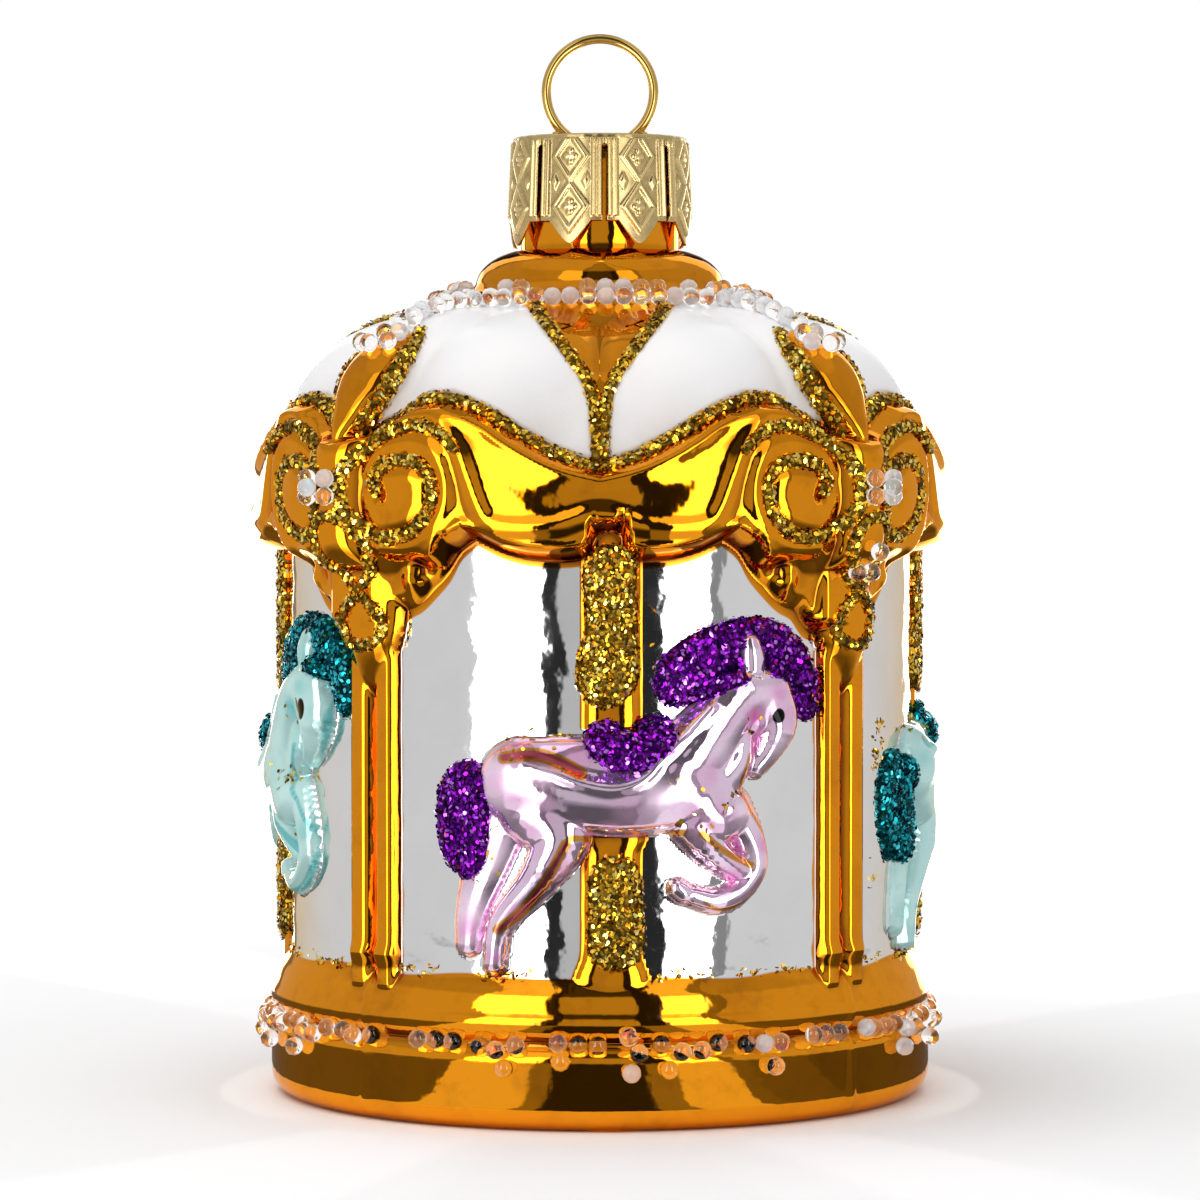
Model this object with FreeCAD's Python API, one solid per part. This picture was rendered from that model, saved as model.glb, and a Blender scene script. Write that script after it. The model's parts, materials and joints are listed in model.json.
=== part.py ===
import FreeCAD
import Part
import math
import os
from FreeCAD import Matrix, Placement, Rotation, Vector

# A mould-blown glass ornament in the shape of a four-sided carousel, with its
# sprung metal cap, its wire hanger and the beads and glitter glued to the glass.
# Millimetres, +Z up, origin at the centre of the base's underside. The front
# panel faces -Y. A panel feature is drawn in a local frame that faces +X, with
# u to the right of someone looking at the panel, and is then turned to its side.

# Base and drum of the glass
plinth_overhang = 1.7
plinth_height = 7.0
plinth_edge = 2.0
groove_height = 1.6
groove_depth = 0.9
step_overhang = 2.1
step_height = 4.6
drum_radius = 29.3
drum_height = 48.8
drum_turn = 2.0
glass_wall = 1.0

# Roof, crown and neck of the glass
roof_rise = 14.2
roof_bulge = 1.2
crown_radius = 11.8
crown_rise = 2.6
neck_radius = 7.4
neck_height = 9.2
lobe_centre_inset = 13.3
lobe_centre_rise = 0.5
lobe_reach = 13.6
lobe_half_width = 10.2
lobe_half_height = 10.6
rib_radius = 2.6
rib_foot_rise = -0.5
rib_foot_out = 1.3
rib_head_rise = 6.4
rib_head_out = -4.7

# Corner columns, each a pair of reeds under a capital
reed_radius = 1.05
reed_proud = 0.25
reed_spacing = 2.2
capital_height = 4.6
capital_proud = 0.3
capital_foot_radius = 2.1
capital_head_radius = 3.0

# Cornice: rises are above the eaves, half widths are from a corner
cornice_proud = 3.8
cornice_depth = 5.0
cornice_foot_rise = -19.0
cornice_top_rise = 4.2
cornice_foot_proud = 1.1
cornice_top_proud = 1.9
bracket_half_width = 4.0
bracket_foot_rise = -16.3
cusp_half_width = 12.6
cusp_rise = -10.0
arch_mid_rise = -11.5
swag_low_rise = -2.9
swag_turn_half_width = 16.6
swag_turn_rise = 0.3
crest_half_width = 9.8
crest_rise = 3.3

# Scroll bosses and the nose between them
scroll_angle = 11.0
scroll_rise = -5.2
scroll_radius = 5.8
scroll_proud = 4.7
scroll_edge = 1.6
nose_radius = 2.4
nose_proud = 5.4
nose_half_length = 4.2

# Horse in relief
horse_relief = 2.8
limb_relief_share = 1.3

# Pole, and the glitter that is glued on: heights are above the foot of the drum
pole_radius = 2.7
pole_proud = 0.8
pole_upper_foot = 22.6
pole_head_tuck = 1.3
pole_lower_head = 13.2
pole_glitter_upper_foot = 25.2
pole_glitter_lower_foot = 1.2
pole_glitter_lower_head = 10.0
pole_glitter_gap = 0.3
glitter_thickness = 0.5
glitter_line = 1.1
glitter_stroke_gap = 0.1
pad_proud = 0.7
pad_tuck = 0.06
wedge_half_width = 4.3
wedge_foot_rise = -1.6
wedge_head_rise = 9.6
rib_line_offset = 1.7
rib_line_head = 5.0
capital_line_height = 1.3
scroll_line_radius = 4.7
scroll_line_step = 1.0
scroll_half_turns = 4
scroll_start_angle = 20.0

# Glass beads
bead_radius = 0.87
bead_gap = 0.04
base_bead_pitch = 1.8
base_bead_offsets = (0.0, 0.7, -0.6)
roof_beads_per_side = 20
roof_garland_mid_gap = 3.6
roof_garland_corner_inset = 5.9
roof_garland_half_width = 0.8
flower_petals = 4
flower_petal_distance = 1.85
spray_drop = 7.6

# Cap and hanger
cap_sheet = 0.3
cap_play = 0.45
cap_flare = 0.45
cap_rim_height = 1.2
cap_rim_width = 0.9
cap_skirt = 6.8
cap_point = 2.0
cap_point_half_width = 1.75
cap_tip_half_width = 0.35
cap_slot = 0.4
cap_slot_head = 0.3
tongue_count = 8
tongue_turn = 3.0
wire_radius = 0.45
ring_radius = 5.05
ring_centre_rise = 5.7
ring_bend_radius = 1.2
leg_half_spacing = 2.39
hole_play = 0.3
leg_straight = 4.0
leg_drop = 15.0
leg_play = 1.06
leg_bend_radius = 3.0

# Levels worked out from the sizes above
step_bottom = plinth_height + groove_height
drum_bottom = step_bottom + step_height
eaves = drum_bottom + drum_height
roof_top = eaves + roof_rise
neck_bottom = roof_top + crown_rise
neck_top = neck_bottom + neck_height
plinth_radius = drum_radius + plinth_overhang
step_radius = drum_radius + step_overhang
lobe_centre_radius = drum_radius - lobe_centre_inset
arch_mid_height = drum_height + arch_mid_rise
roof_garland_mid = crown_radius + roof_garland_mid_gap
roof_garland_corner = drum_radius - roof_garland_corner_inset
leg_foot = neck_radius - glass_wall - wire_radius - leg_play
half_side = math.radians(45.0)
AXIS = Vector(0, 0, 1)
ORIGIN = Vector(0, 0, 0)
RADIAL_REACH = 2.0 * plinth_radius

SIDES = {"right": 0.0, "back": 90.0, "left": 180.0, "front": 270.0}
CORNERS = {"back_right": 45.0, "back_left": 135.0, "front_left": 225.0, "front_right": 315.0}


# Small helpers

def turned(shape, degrees):
    """A copy of a shape, turned about the vertical axis."""
    copy = shape.copy()
    copy.rotate(ORIGIN, AXIS, degrees)
    return copy


def at(radius, degrees, z):
    """The point at a radius, an angle about the vertical axis and a height."""
    angle = math.radians(degrees)
    return Vector(radius * math.cos(angle), radius * math.sin(angle), z)


def on_drum(u, height, out=0.0):
    """The point at arc length u and a height above the drum's foot, out from the drum's face."""
    return at(drum_radius + out, math.degrees(u / drum_radius), drum_bottom + height)


def line(a, b):
    return Part.LineSegment(a, b).toShape()


def arc(a, via, b):
    return Part.Arc(a, via, b).toShape()


def revolved(edges):
    """The solid swept by a closed profile in the XZ plane round the vertical axis."""
    return Part.Face(Part.Wire(edges)).revolve(ORIGIN, AXIS, 360.0)


def quarter_point(corner, end_a, end_b):
    """The point halfway round the quarter ellipse from end_a to end_b about a corner."""
    half = math.sqrt(0.5)
    return corner + (end_a - corner) * half + (end_b - corner) * half


def bulged(a, b, bulge):
    """The middle of a to b in the XZ plane, moved sideways by a bulge."""
    along = (b - a).normalize()
    return (a + b) * 0.5 + Vector(along.z, 0, -along.x) * bulge


def ellipsoid(centre, reach, half_width, half_height):
    """An ellipsoid with half axes along X, Y and Z."""
    scale = Matrix()
    scale.scale(Vector(reach, half_width, half_height))
    ball = Part.makeSphere(1.0).transformGeometry(scale)
    ball.translate(centre)
    return ball


def capsule(start, start_radius, end, end_radius):
    """A tapered rod with round ends, tangent to its two end balls."""
    length = (end - start).Length
    lean = math.acos((start_radius - end_radius) / length)

    def point(centre, radius, angle):
        return Vector(radius * math.sin(angle), 0, centre + radius * math.cos(angle))

    foot, foot_side = point(0, start_radius, math.pi), point(0, start_radius, lean)
    head_side, head = point(length, end_radius, lean), point(length, end_radius, 0.0)
    rod = revolved([
        arc(foot, point(0, start_radius, (math.pi + lean) / 2), foot_side),
        line(foot_side, head_side),
        arc(head_side, point(length, end_radius, lean / 2), head),
        line(head, foot),
    ])
    rod.Placement = Placement(start, Rotation(AXIS, end - start))
    return rod


def radial_prism(edges):
    """A closed outline in the plane of u and height, run out along +X."""
    return Part.Face(Part.Wire(edges)).extrude(Vector(RADIAL_REACH, 0, 0))


def fused(shapes):
    return shapes[0].multiFuse(shapes[1:]).removeSplitter() if len(shapes) > 1 else shapes[0]


# Glass shell

def core(inset):
    """The round body of the glass, moved inwards by inset, with its neck open at the top."""
    slope_inset = inset * math.sqrt(0.5)
    top = neck_top + inset
    floor = Vector(0, 0, inset)
    foot = Vector(plinth_radius - plinth_edge, 0, inset)
    edge_top = Vector(plinth_radius - inset, 0, plinth_edge)
    edge_centre = Vector(foot.x, 0, edge_top.z)
    plinth_top = Vector(plinth_radius - inset, 0, plinth_height)
    groove = Vector(plinth_radius - groove_depth - inset, 0, plinth_height + groove_height / 2)
    step_foot = Vector(step_radius - inset, 0, step_bottom)
    drum_foot = Vector(drum_radius - inset, 0, drum_bottom)
    step_centre = Vector(drum_foot.x, 0, step_foot.z)
    drum_head = Vector(drum_radius - inset, 0, eaves)
    crown_foot = Vector(crown_radius - slope_inset, 0, roof_top - slope_inset)
    crown_head = Vector(neck_radius - inset, 0, neck_bottom - slope_inset)
    crown_centre = Vector(crown_head.x, 0, crown_foot.z)
    neck_rim = Vector(neck_radius - inset, 0, top)
    return revolved([
        line(floor, foot),
        arc(foot, quarter_point(edge_centre, foot, edge_top), edge_top),
        line(edge_top, plinth_top),
        arc(plinth_top, groove, step_foot),
        arc(step_foot, quarter_point(step_centre, step_foot, drum_foot), drum_foot),
        line(drum_foot, drum_head),
        arc(drum_head, bulged(drum_head, crown_foot, roof_bulge), crown_foot),
        arc(crown_foot, quarter_point(crown_centre, crown_foot, crown_head), crown_head),
        line(crown_head, neck_rim),
        line(neck_rim, Vector(0, 0, top)),
        line(Vector(0, 0, top), floor),
    ])


def lobes(extra=0.0):
    """The two puffed lobes of the roof over the side that faces +X."""
    centre = Vector(lobe_centre_radius, 0, eaves + lobe_centre_rise)
    puff = ellipsoid(centre, lobe_reach + extra, lobe_half_width + extra, lobe_half_height + extra)
    quarter_turn = math.degrees(half_side) / 2
    return [turned(puff, -quarter_turn), turned(puff, quarter_turn)]


def corner_rib(extra=0.0):
    """The tongue that runs from a corner of the cornice up to the bead garland."""
    foot = Vector(drum_radius + rib_foot_out, 0, eaves + rib_foot_rise)
    head = Vector(drum_radius + rib_head_out, 0, eaves + rib_head_rise)
    return capsule(foot, rib_radius + extra, head, rib_radius + extra)


def column():
    """Two reeds side by side and the capital above them, at the local corner."""
    foot = drum_bottom - step_height / 2
    head = eaves + cornice_foot_rise
    half_spacing = reed_spacing / 2
    reeds = [
        Part.makeCylinder(reed_radius, head - foot, Vector(drum_radius + reed_proud, u, foot))
        for u in (-half_spacing, half_spacing)
    ]
    return reeds + [capital()]


def capital(extra=0.0):
    """The leafy swelling between the reeds and the cornice."""
    middle = eaves + cornice_foot_rise
    axis_radius = drum_radius + capital_proud
    return capsule(
        Vector(axis_radius, 0, middle - capital_height / 2), capital_foot_radius + extra,
        Vector(axis_radius, 0, middle + capital_height / 2), capital_head_radius + extra,
    )


def cornice_section(proud):
    """The cornice's ring before its edges are cut, standing proud of its own face by proud."""
    middle = (cornice_foot_rise + cornice_top_rise) / 2
    inner = drum_radius - cornice_depth
    foot = Vector(drum_radius + cornice_foot_proud + proud, 0, eaves + cornice_foot_rise)
    belly = Vector(drum_radius + cornice_proud + proud, 0, eaves + middle)
    head = Vector(drum_radius + cornice_top_proud + proud, 0, eaves + cornice_top_rise)
    inner_foot, inner_head = Vector(inner, 0, foot.z), Vector(inner, 0, head.z)
    return revolved([
        arc(foot, belly, head),
        line(head, inner_head),
        line(inner_head, inner_foot),
        line(inner_foot, foot),
    ])


def cornice_outline(drop=0.0):
    """The scalloped outline of the cornice round one corner, from mid side to mid side."""
    reach = (drum_radius + cornice_proud) * math.sin(half_side)

    def point(u, rise):
        return Vector(0, u, eaves + rise - drop)

    def half(side):
        crest = point(side * crest_half_width, crest_rise)
        turn = point(side * swag_turn_half_width, swag_turn_rise)
        low = point(side * reach, swag_low_rise)
        arch = point(side * reach, arch_mid_rise)
        cusp = point(side * cusp_half_width, cusp_rise)
        bracket = point(side * bracket_half_width, bracket_foot_rise)
        foot = point(side * bracket_half_width / 2, cornice_foot_rise)
        rise = Vector(0, 0, (crest - turn).z / 4)
        sag = Vector(0, 0, (low - turn).z / 4)
        dip = Vector(0, 0, (arch - cusp).z / 2)
        hollow = Vector(0, -side, 1) * (cusp_half_width - bracket_half_width) / 6
        return [
            arc(crest, (crest + turn) * 0.5 + rise, turn),
            arc(turn, (turn + low) * 0.5 + sag, low),
            line(low, arch),
            arc(arch, (arch + cusp) * 0.5 + dip, cusp),
            arc(cusp, (cusp + bracket) * 0.5 + hollow, bracket),
            line(bracket, foot),
        ]

    top = line(point(-crest_half_width, crest_rise), point(crest_half_width, crest_rise))
    underside = line(
        point(-bracket_half_width / 2, cornice_foot_rise), point(bracket_half_width / 2, cornice_foot_rise)
    )
    return Part.__sortEdges__(half(1) + half(-1) + [top, underside])


def cornice_band():
    """A quarter of the cornice without its scrolls, at the local corner."""
    return cornice_section(0.0).common(radial_prism(cornice_outline()))


def cornice_corner():
    """A quarter of the cornice, with its scroll bosses and nose, at the local corner."""
    centre_z = eaves + scroll_rise
    bosses = [turned(scroll_boss(), side * scroll_angle) for side in (-1, 1)]
    nose_centre = drum_radius + nose_proud - nose_radius
    nose = capsule(
        Vector(nose_centre, 0, centre_z - nose_half_length), nose_radius,
        Vector(nose_centre, 0, centre_z + nose_half_length), nose_radius,
    )
    return [cornice_band(), nose] + bosses


def scroll_boss():
    """A round boss facing +X, with a softened front edge."""
    centre = Vector(drum_radius - glass_wall / 2, 0, eaves + scroll_rise)
    depth = scroll_proud + glass_wall / 2
    boss = Part.makeCylinder(scroll_radius, depth, centre, Vector(1, 0, 0))
    front = max(boss.Edges, key=lambda e: e.BoundBox.XMin)
    return boss.makeFillet(scroll_edge, [front])


def limb(start, end):
    """One bone of the horse: two ends, each (u, height above the drum's foot, radius)."""
    ends = []
    for u, height, radius in (start, end):
        relief = min(horse_relief, limb_relief_share * radius)
        ends.append((on_drum(u, height, relief - radius), radius))
    return capsule(ends[0][0], ends[0][1], ends[1][0], ends[1][1])


rump, barrel, shoulder = (-8.0, 17.4, 4.0), (-0.5, 16.5, 4.2), (6.2, 17.0, 4.3)
withers, poll, brow = (7.0, 18.8, 3.8), (11.9, 24.8, 2.5), (14.1, 24.6, 2.3)
muzzle, ear_foot, ear_tip = (12.6, 19.2, 1.2), (13.0, 27.4, 0.9), (13.0, 29.7, 0.6)
breast, elbow, near_knee = (8.6, 14.8, 3.3), (7.6, 13.4, 2.4), (11.4, 9.6, 1.5)
forearm, far_knee, shin = (12.2, 12.2, 1.8), (12.4, 9.2, 1.5), (9.6, 7.2, 1.3)
fore_hoof = (6.7, 7.7, 1.1)
stifle, gaskin, hock = (-4.8, 12.6, 2.7), (-6.6, 8.8, 1.8), (-9.7, 5.0, 1.4)
hind_hoof, far_stifle, far_hoof = (-10.5, 1.2, 1.1), (-10.6, 11.0, 2.4), (-12.7, 3.8, 1.4)
BONES = [
    (rump, barrel), (barrel, shoulder), (withers, poll), (brow, muzzle), (ear_foot, ear_tip),
    (shoulder, breast), (elbow, near_knee), (breast, forearm), (forearm, far_knee), (far_knee, shin),
    (shin, fore_hoof), (rump, stifle), (stifle, gaskin), (gaskin, hock), (hock, hind_hoof),
    (rump, far_stifle), (far_stifle, far_hoof),
]


def horse():
    """A galloping horse in relief on the panel that faces +X, its head towards +u."""
    return fused([limb(start, end) for start, end in BONES])


def pole(foot, head, extra=0.0):
    """A length of the horse's pole in low relief, between two heights above the drum's foot."""
    centre = on_drum(0.0, foot, pole_proud - pole_radius)
    return Part.makeCylinder(pole_radius + extra, head - foot, centre)


def poles():
    """The pole above the saddle, up to the cornice, and the pole below the belly."""
    return [pole(pole_upper_foot, arch_mid_height + pole_head_tuck), pole(0.0, pole_lower_head)]


def glass_shell(horse_shape):
    """The blown glass: body, roof, columns, cornice and horses in one hollow solid."""
    bodies = []
    for angle in CORNERS.values():
        bodies += [turned(piece, angle) for piece in cornice_corner() + [corner_rib()]]
        bodies += [turned(piece, angle + drum_turn) for piece in column()]
    for angle in SIDES.values():
        bodies += [turned(piece, angle) for piece in lobes()]
        bodies += [turned(piece, angle + drum_turn) for piece in [horse_shape] + poles()]
    return core(0.0).multiFuse(bodies).cut(core(glass_wall)).removeSplitter()


# Glitter, glued to the glass in beads of adhesive

def drum_cylinder():
    return Part.makeCylinder(drum_radius, eaves)


def pad(stations, horse_shape):
    """A raised patch of glitter along (u, height, radius) stations, laid on horse and panel."""
    ends = [(on_drum(u, height, pad_proud), radius) for u, height, radius in stations]
    rods = []
    for (start, start_radius), (end, end_radius) in zip(ends, ends[1:]):
        rods.append(capsule(start, start_radius - pad_tuck, end, end_radius))
    return fused(rods).cut([horse_shape, drum_cylinder()] + poles())


MANE = [
    (4.9, 26.3, 1.7), (7.0, 27.9, 2.1), (9.9, 28.9, 2.3), (13.1, 29.5, 2.4),
    (15.6, 28.9, 2.1), (17.2, 27.0, 1.7), (17.8, 23.8, 1.1),
]
SADDLE = [(-0.6, 21.9, 1.6), (1.5, 20.5, 2.0), (3.9, 22.2, 1.5)]
TAIL = [(-11.8, 18.0, 1.6), (-13.0, 15.4, 2.2), (-12.8, 12.8, 2.2), (-12.0, 10.4, 1.5)]


def pole_glitter(horse_shape):
    """Glitter over the upper and lower lengths of the pole."""
    spans = [
        (pole_glitter_upper_foot, arch_mid_height - pole_glitter_gap),
        (pole_glitter_lower_foot, pole_glitter_lower_head),
    ]
    coats = [pole(foot, head, glitter_thickness) for foot, head in spans]
    core_cuts = [drum_cylinder(), horse_shape] + poles()
    return Part.makeCompound([coat.cut(core_cuts) for coat in coats])


def mid_side_block(side):
    """What lies beyond the mid side to the right (1) or left (-1) of the local corner."""
    block = Part.makeBox(RADIAL_REACH, RADIAL_REACH, neck_top, Vector(0, -glitter_stroke_gap / 2, 0))
    block.rotate(ORIGIN, AXIS, math.degrees(half_side))
    return block if side > 0 else block.mirror(ORIGIN, Vector(0, 1, 0))


def swag_glitter():
    """A line of glitter along the top edge of the cornice, from mid side to mid side."""
    edge = radial_prism(cornice_outline()).cut(radial_prism(cornice_outline(glitter_line)))
    upper = Part.makeBox(
        RADIAL_REACH, RADIAL_REACH, eaves,
        Vector(0, -RADIAL_REACH / 2, eaves + (arch_mid_rise + swag_low_rise) / 2),
    )
    stroke = cornice_section(glitter_thickness).cut(cornice_section(0.0)).common(edge).common(upper)
    beyond = [mid_side_block(side) for side in (-1, 1)]
    return stroke.cut(cornice_corner() + [corner_rib(glitter_thickness)] + beyond)


def wedge_glitter():
    """Two lines of glitter in a V, on the edges of the valley between a side's two lobes."""
    half = glitter_line / 2
    foot = eaves + wedge_foot_rise
    head = eaves + wedge_head_rise

    def stroke(side):
        corners = [
            Vector(0, 0, foot - half), Vector(0, side * half, foot),
            Vector(0, side * (wedge_half_width + half), head),
            Vector(0, side * (wedge_half_width - half), head), Vector(0, 0, foot + glitter_line),
        ]
        return radial_prism([line(a, b) for a, b in zip(corners, corners[1:] + corners[:1])])

    skin = fused([core(-glitter_thickness)] + lobes(glitter_thickness))
    strokes = stroke(1).fuse(stroke(-1))
    bands = [turned(cornice_band(), side * 45.0) for side in (-1, 1)]
    return skin.common(strokes).cut([core(0.0)] + bands + lobes())


def rib_glitter():
    """Two lines of glitter along a corner rib."""
    slabs = [
        Part.makeBox(
            RADIAL_REACH, glitter_line, rib_line_head,
            Vector(0, side * rib_line_offset - glitter_line / 2, eaves),
        )
        for side in (-1, 1)
    ]
    coat = corner_rib(glitter_thickness).common(slabs[0].fuse(slabs[1]))
    turned_lobes = [turned(puff, side * 45.0) for side in (-1, 1) for puff in lobes()]
    return coat.cut([corner_rib(), core(0.0)] + cornice_corner() + turned_lobes)


def scroll_glitter(hand):
    """A spiral line of glitter on a scroll boss that faces +X; hand 1 winds inwards anticlockwise."""
    face = drum_radius + scroll_proud
    centre = Vector(face, 0, eaves + scroll_rise)
    half = glitter_line / 2
    pieces = []
    shift = 0.0
    for turn in range(scroll_half_turns):
        radius = scroll_line_radius - turn * scroll_line_step
        middle = centre + Vector(0, shift, 0)
        inner = Part.makeCylinder(radius - half, glitter_thickness, middle, Vector(1, 0, 0))
        upper = Part.makeBox(
            glitter_thickness, 2 * scroll_radius, scroll_radius,
            Vector(face, -scroll_radius + shift, centre.z),
        )
        ring = Part.makeCylinder(radius + half, glitter_thickness, middle, Vector(1, 0, 0))
        half_ring = ring.cut(inner).common(upper)
        if turn % 2:
            half_ring.rotate(middle, Vector(1, 0, 0), 180.0)
        pieces.append(half_ring)
        shift += (-1) ** (turn + 1) * scroll_line_step
    spiral = fused(pieces)
    spiral.rotate(centre, Vector(1, 0, 0), scroll_start_angle)
    if hand < 0:
        spiral = spiral.mirror(ORIGIN, Vector(0, 1, 0))
    return spiral


def capital_glitter():
    """A band of glitter round the foot of a capital."""
    foot = eaves + cornice_foot_rise - capital_height / 2
    band = Part.makeBox(
        RADIAL_REACH, 4 * capital_head_radius, capital_line_height,
        Vector(0, -2 * capital_head_radius, foot - capital_line_height),
    )
    return capital(glitter_thickness).common(band).cut([drum_cylinder()] + column())


# Glass beads

def settled(start, direction, solid):
    """A bead moved along a direction until it all but touches a solid."""
    centre = start
    for _ in range(12):
        clear = solid.distToShape(Part.Vertex(centre))[0] - bead_radius - bead_gap
        centre = centre + direction * clear
    return Part.makeSphere(bead_radius, centre)


def base_garland():
    """The string of beads in the groove between the plinth and the step."""
    body = core(0.0)
    middle = plinth_height + groove_height / 2
    row = [
        settled(Vector(plinth_radius + 5 * bead_radius, 0, middle + offset), Vector(-1, 0, 0), body)
        for offset in base_bead_offsets
    ]
    per_quarter = len(row) * int(math.pi * plinth_radius / (2 * len(row) * base_bead_pitch))
    pitch = 90.0 / per_quarter
    return Part.makeCompound([turned(row[i % len(row)], i * pitch) for i in range(4 * per_quarter)])


def roof_garland():
    """The string of beads that runs round the roof, lowest at the four corners."""
    corner_ribs = [turned(corner_rib(), 45.0)]
    roof = Part.makeCompound([core(0.0)] + lobes() + corner_ribs + [turned(p, 90.0) for p in lobes()])
    pitch = 90.0 / roof_beads_per_side
    quarter = []
    for i in range(roof_beads_per_side):
        angle = (i + 0.5) * pitch
        swing = (1 - math.cos(math.radians(4 * angle))) / 2
        row = roof_garland_half_width * (-1) ** i
        radius = roof_garland_mid + row
        radius += (roof_garland_corner - roof_garland_mid) * swing ** 2
        quarter.append(settled(at(radius, angle, neck_bottom), Vector(0, 0, -1), roof))
    return Part.makeCompound([turned(bead, angle) for angle in SIDES.values() for bead in quarter])


def corner_beads(places):
    """Beads on the local corner and its scroll lines, at (u, height above the scroll's centre) places."""
    lines = [turned(scroll_glitter(hand), hand * scroll_angle) for hand in (-1, 1)]
    corner = Part.makeCompound(cornice_corner() + lines)
    start = drum_radius + nose_proud + 3 * bead_radius
    beads = []
    for u, rise in places:
        middle = Vector(start, u, eaves + scroll_rise + rise)
        beads.append(settled(middle, Vector(-1, 0, 0), corner))
    return Part.makeCompound(beads)


def flower():
    """A bead with a ring of beads about it."""
    petals = []
    for i in range(flower_petals):
        angle = 2 * math.pi * (i + 0.5) / flower_petals
        petals.append((flower_petal_distance * math.cos(angle), flower_petal_distance * math.sin(angle)))
    return corner_beads([(0.0, 0.0)] + petals)


def spray():
    """Three beads in a triangle below a flower."""
    pitch = flower_petal_distance
    return corner_beads([(-pitch / 2, -spray_drop), (pitch / 2, -spray_drop), (0.0, pitch - spray_drop)])


# Cap and hanger

def hanger_cap():
    """The stamped cap: dished top with two holes, folded rim and a skirt cut into pointed tongues."""
    inner = neck_radius + cap_play
    outer = inner + cap_sheet
    sheet_top = neck_top + cap_sheet
    rim_top = sheet_top + cap_rim_height
    skirt_foot = neck_top - cap_skirt
    tip = skirt_foot - cap_point
    rim_inner = outer - cap_rim_width
    rim_mid = Vector(outer - cap_rim_width / 2, 0, rim_top)
    rim_shoulder = rim_top - cap_rim_width / 2
    corners = [
        Vector(rim_inner, 0, rim_shoulder), Vector(rim_inner, 0, sheet_top), Vector(0, 0, sheet_top),
        Vector(0, 0, neck_top), Vector(inner, 0, neck_top), Vector(inner + cap_flare, 0, tip),
        Vector(outer + cap_flare, 0, tip), Vector(outer, 0, neck_top), Vector(outer, 0, rim_shoulder),
    ]
    edges = [line(a, b) for a, b in zip(corners, corners[1:])]
    cap = revolved(edges + [arc(corners[-1], rim_mid, corners[0])])
    pitch = 360.0 / tongue_count
    half_pitch = (outer + cap_flare) * math.sin(math.radians(pitch / 2))
    half_outline = [
        (cap_slot / 2, neck_top - cap_slot_head), (cap_slot / 2, skirt_foot),
        (half_pitch - cap_point_half_width, skirt_foot), (half_pitch - cap_tip_half_width, tip),
        (half_pitch - cap_tip_half_width, tip - cap_sheet),
    ]
    outline = half_outline + [(-u, z) for u, z in reversed(half_outline)]
    points = [Vector(0, u, z) for u, z in outline]
    notch = radial_prism([line(a, b) for a, b in zip(points, points[1:] + points[:1])])
    cuts = [turned(notch, i * pitch + tongue_turn) for i in range(tongue_count)]
    for side in (-1, 1):
        foot = Vector(side * leg_half_spacing, 0, neck_top - cap_sheet)
        cuts.append(Part.makeCylinder(wire_radius + hole_play, 3 * cap_sheet, foot))
    return cap.cut(cuts)


def hanger_wire():
    """One length of wire: a round loop and two straight legs that splay inside the neck."""
    centre = Vector(0, 0, neck_top + ring_centre_rise)
    bend_x = leg_half_spacing + ring_bend_radius
    bend_drop = math.sqrt((ring_radius + ring_bend_radius) ** 2 - bend_x ** 2)
    lean = math.atan2(leg_foot - leg_half_spacing, leg_drop - leg_straight)
    setback = leg_bend_radius * math.tan(lean / 2)

    def side_points(side):
        bend = centre + Vector(side * bend_x, 0, -bend_drop)
        on_ring = centre + (bend - centre).normalize() * ring_radius
        on_leg = bend - Vector(side * ring_bend_radius, 0, 0)
        mid_way = ((on_ring - bend) + (on_leg - bend)).normalize() * ring_bend_radius
        knee = Vector(on_leg.x, 0, neck_top - leg_straight)
        foot = Vector(side * leg_foot, 0, neck_top - leg_drop)
        knee_in = knee + Vector(0, 0, setback)
        knee_out = knee + (foot - knee).normalize() * setback
        knee_centre = knee_in + Vector(side * leg_bend_radius, 0, 0)
        knee_mid = knee_centre + (knee - knee_centre).normalize() * leg_bend_radius
        return on_ring, bend + mid_way, on_leg, knee_in, knee_mid, knee_out, foot

    right, left = side_points(1), side_points(-1)
    path = [
        line(right[6], right[5]), arc(right[5], right[4], right[3]), line(right[3], right[2]),
        arc(right[2], right[1], right[0]), arc(right[0], centre + Vector(0, 0, ring_radius), left[0]),
        arc(left[0], left[1], left[2]), line(left[2], left[3]),
        arc(left[3], left[4], left[5]), line(left[5], left[6]),
    ]
    section = Part.Wire(Part.makeCircle(wire_radius, right[6], right[5] - right[6]))
    return Part.Wire(path).makePipeShell([section], True, True)


def write(name, shape):
    shape.exportStep(os.path.join("parts", name + ".step"))
    print(name, "solids", len(shape.Solids), "valid", shape.isValid(), "mm3", round(shape.Volume, 3))


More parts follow.
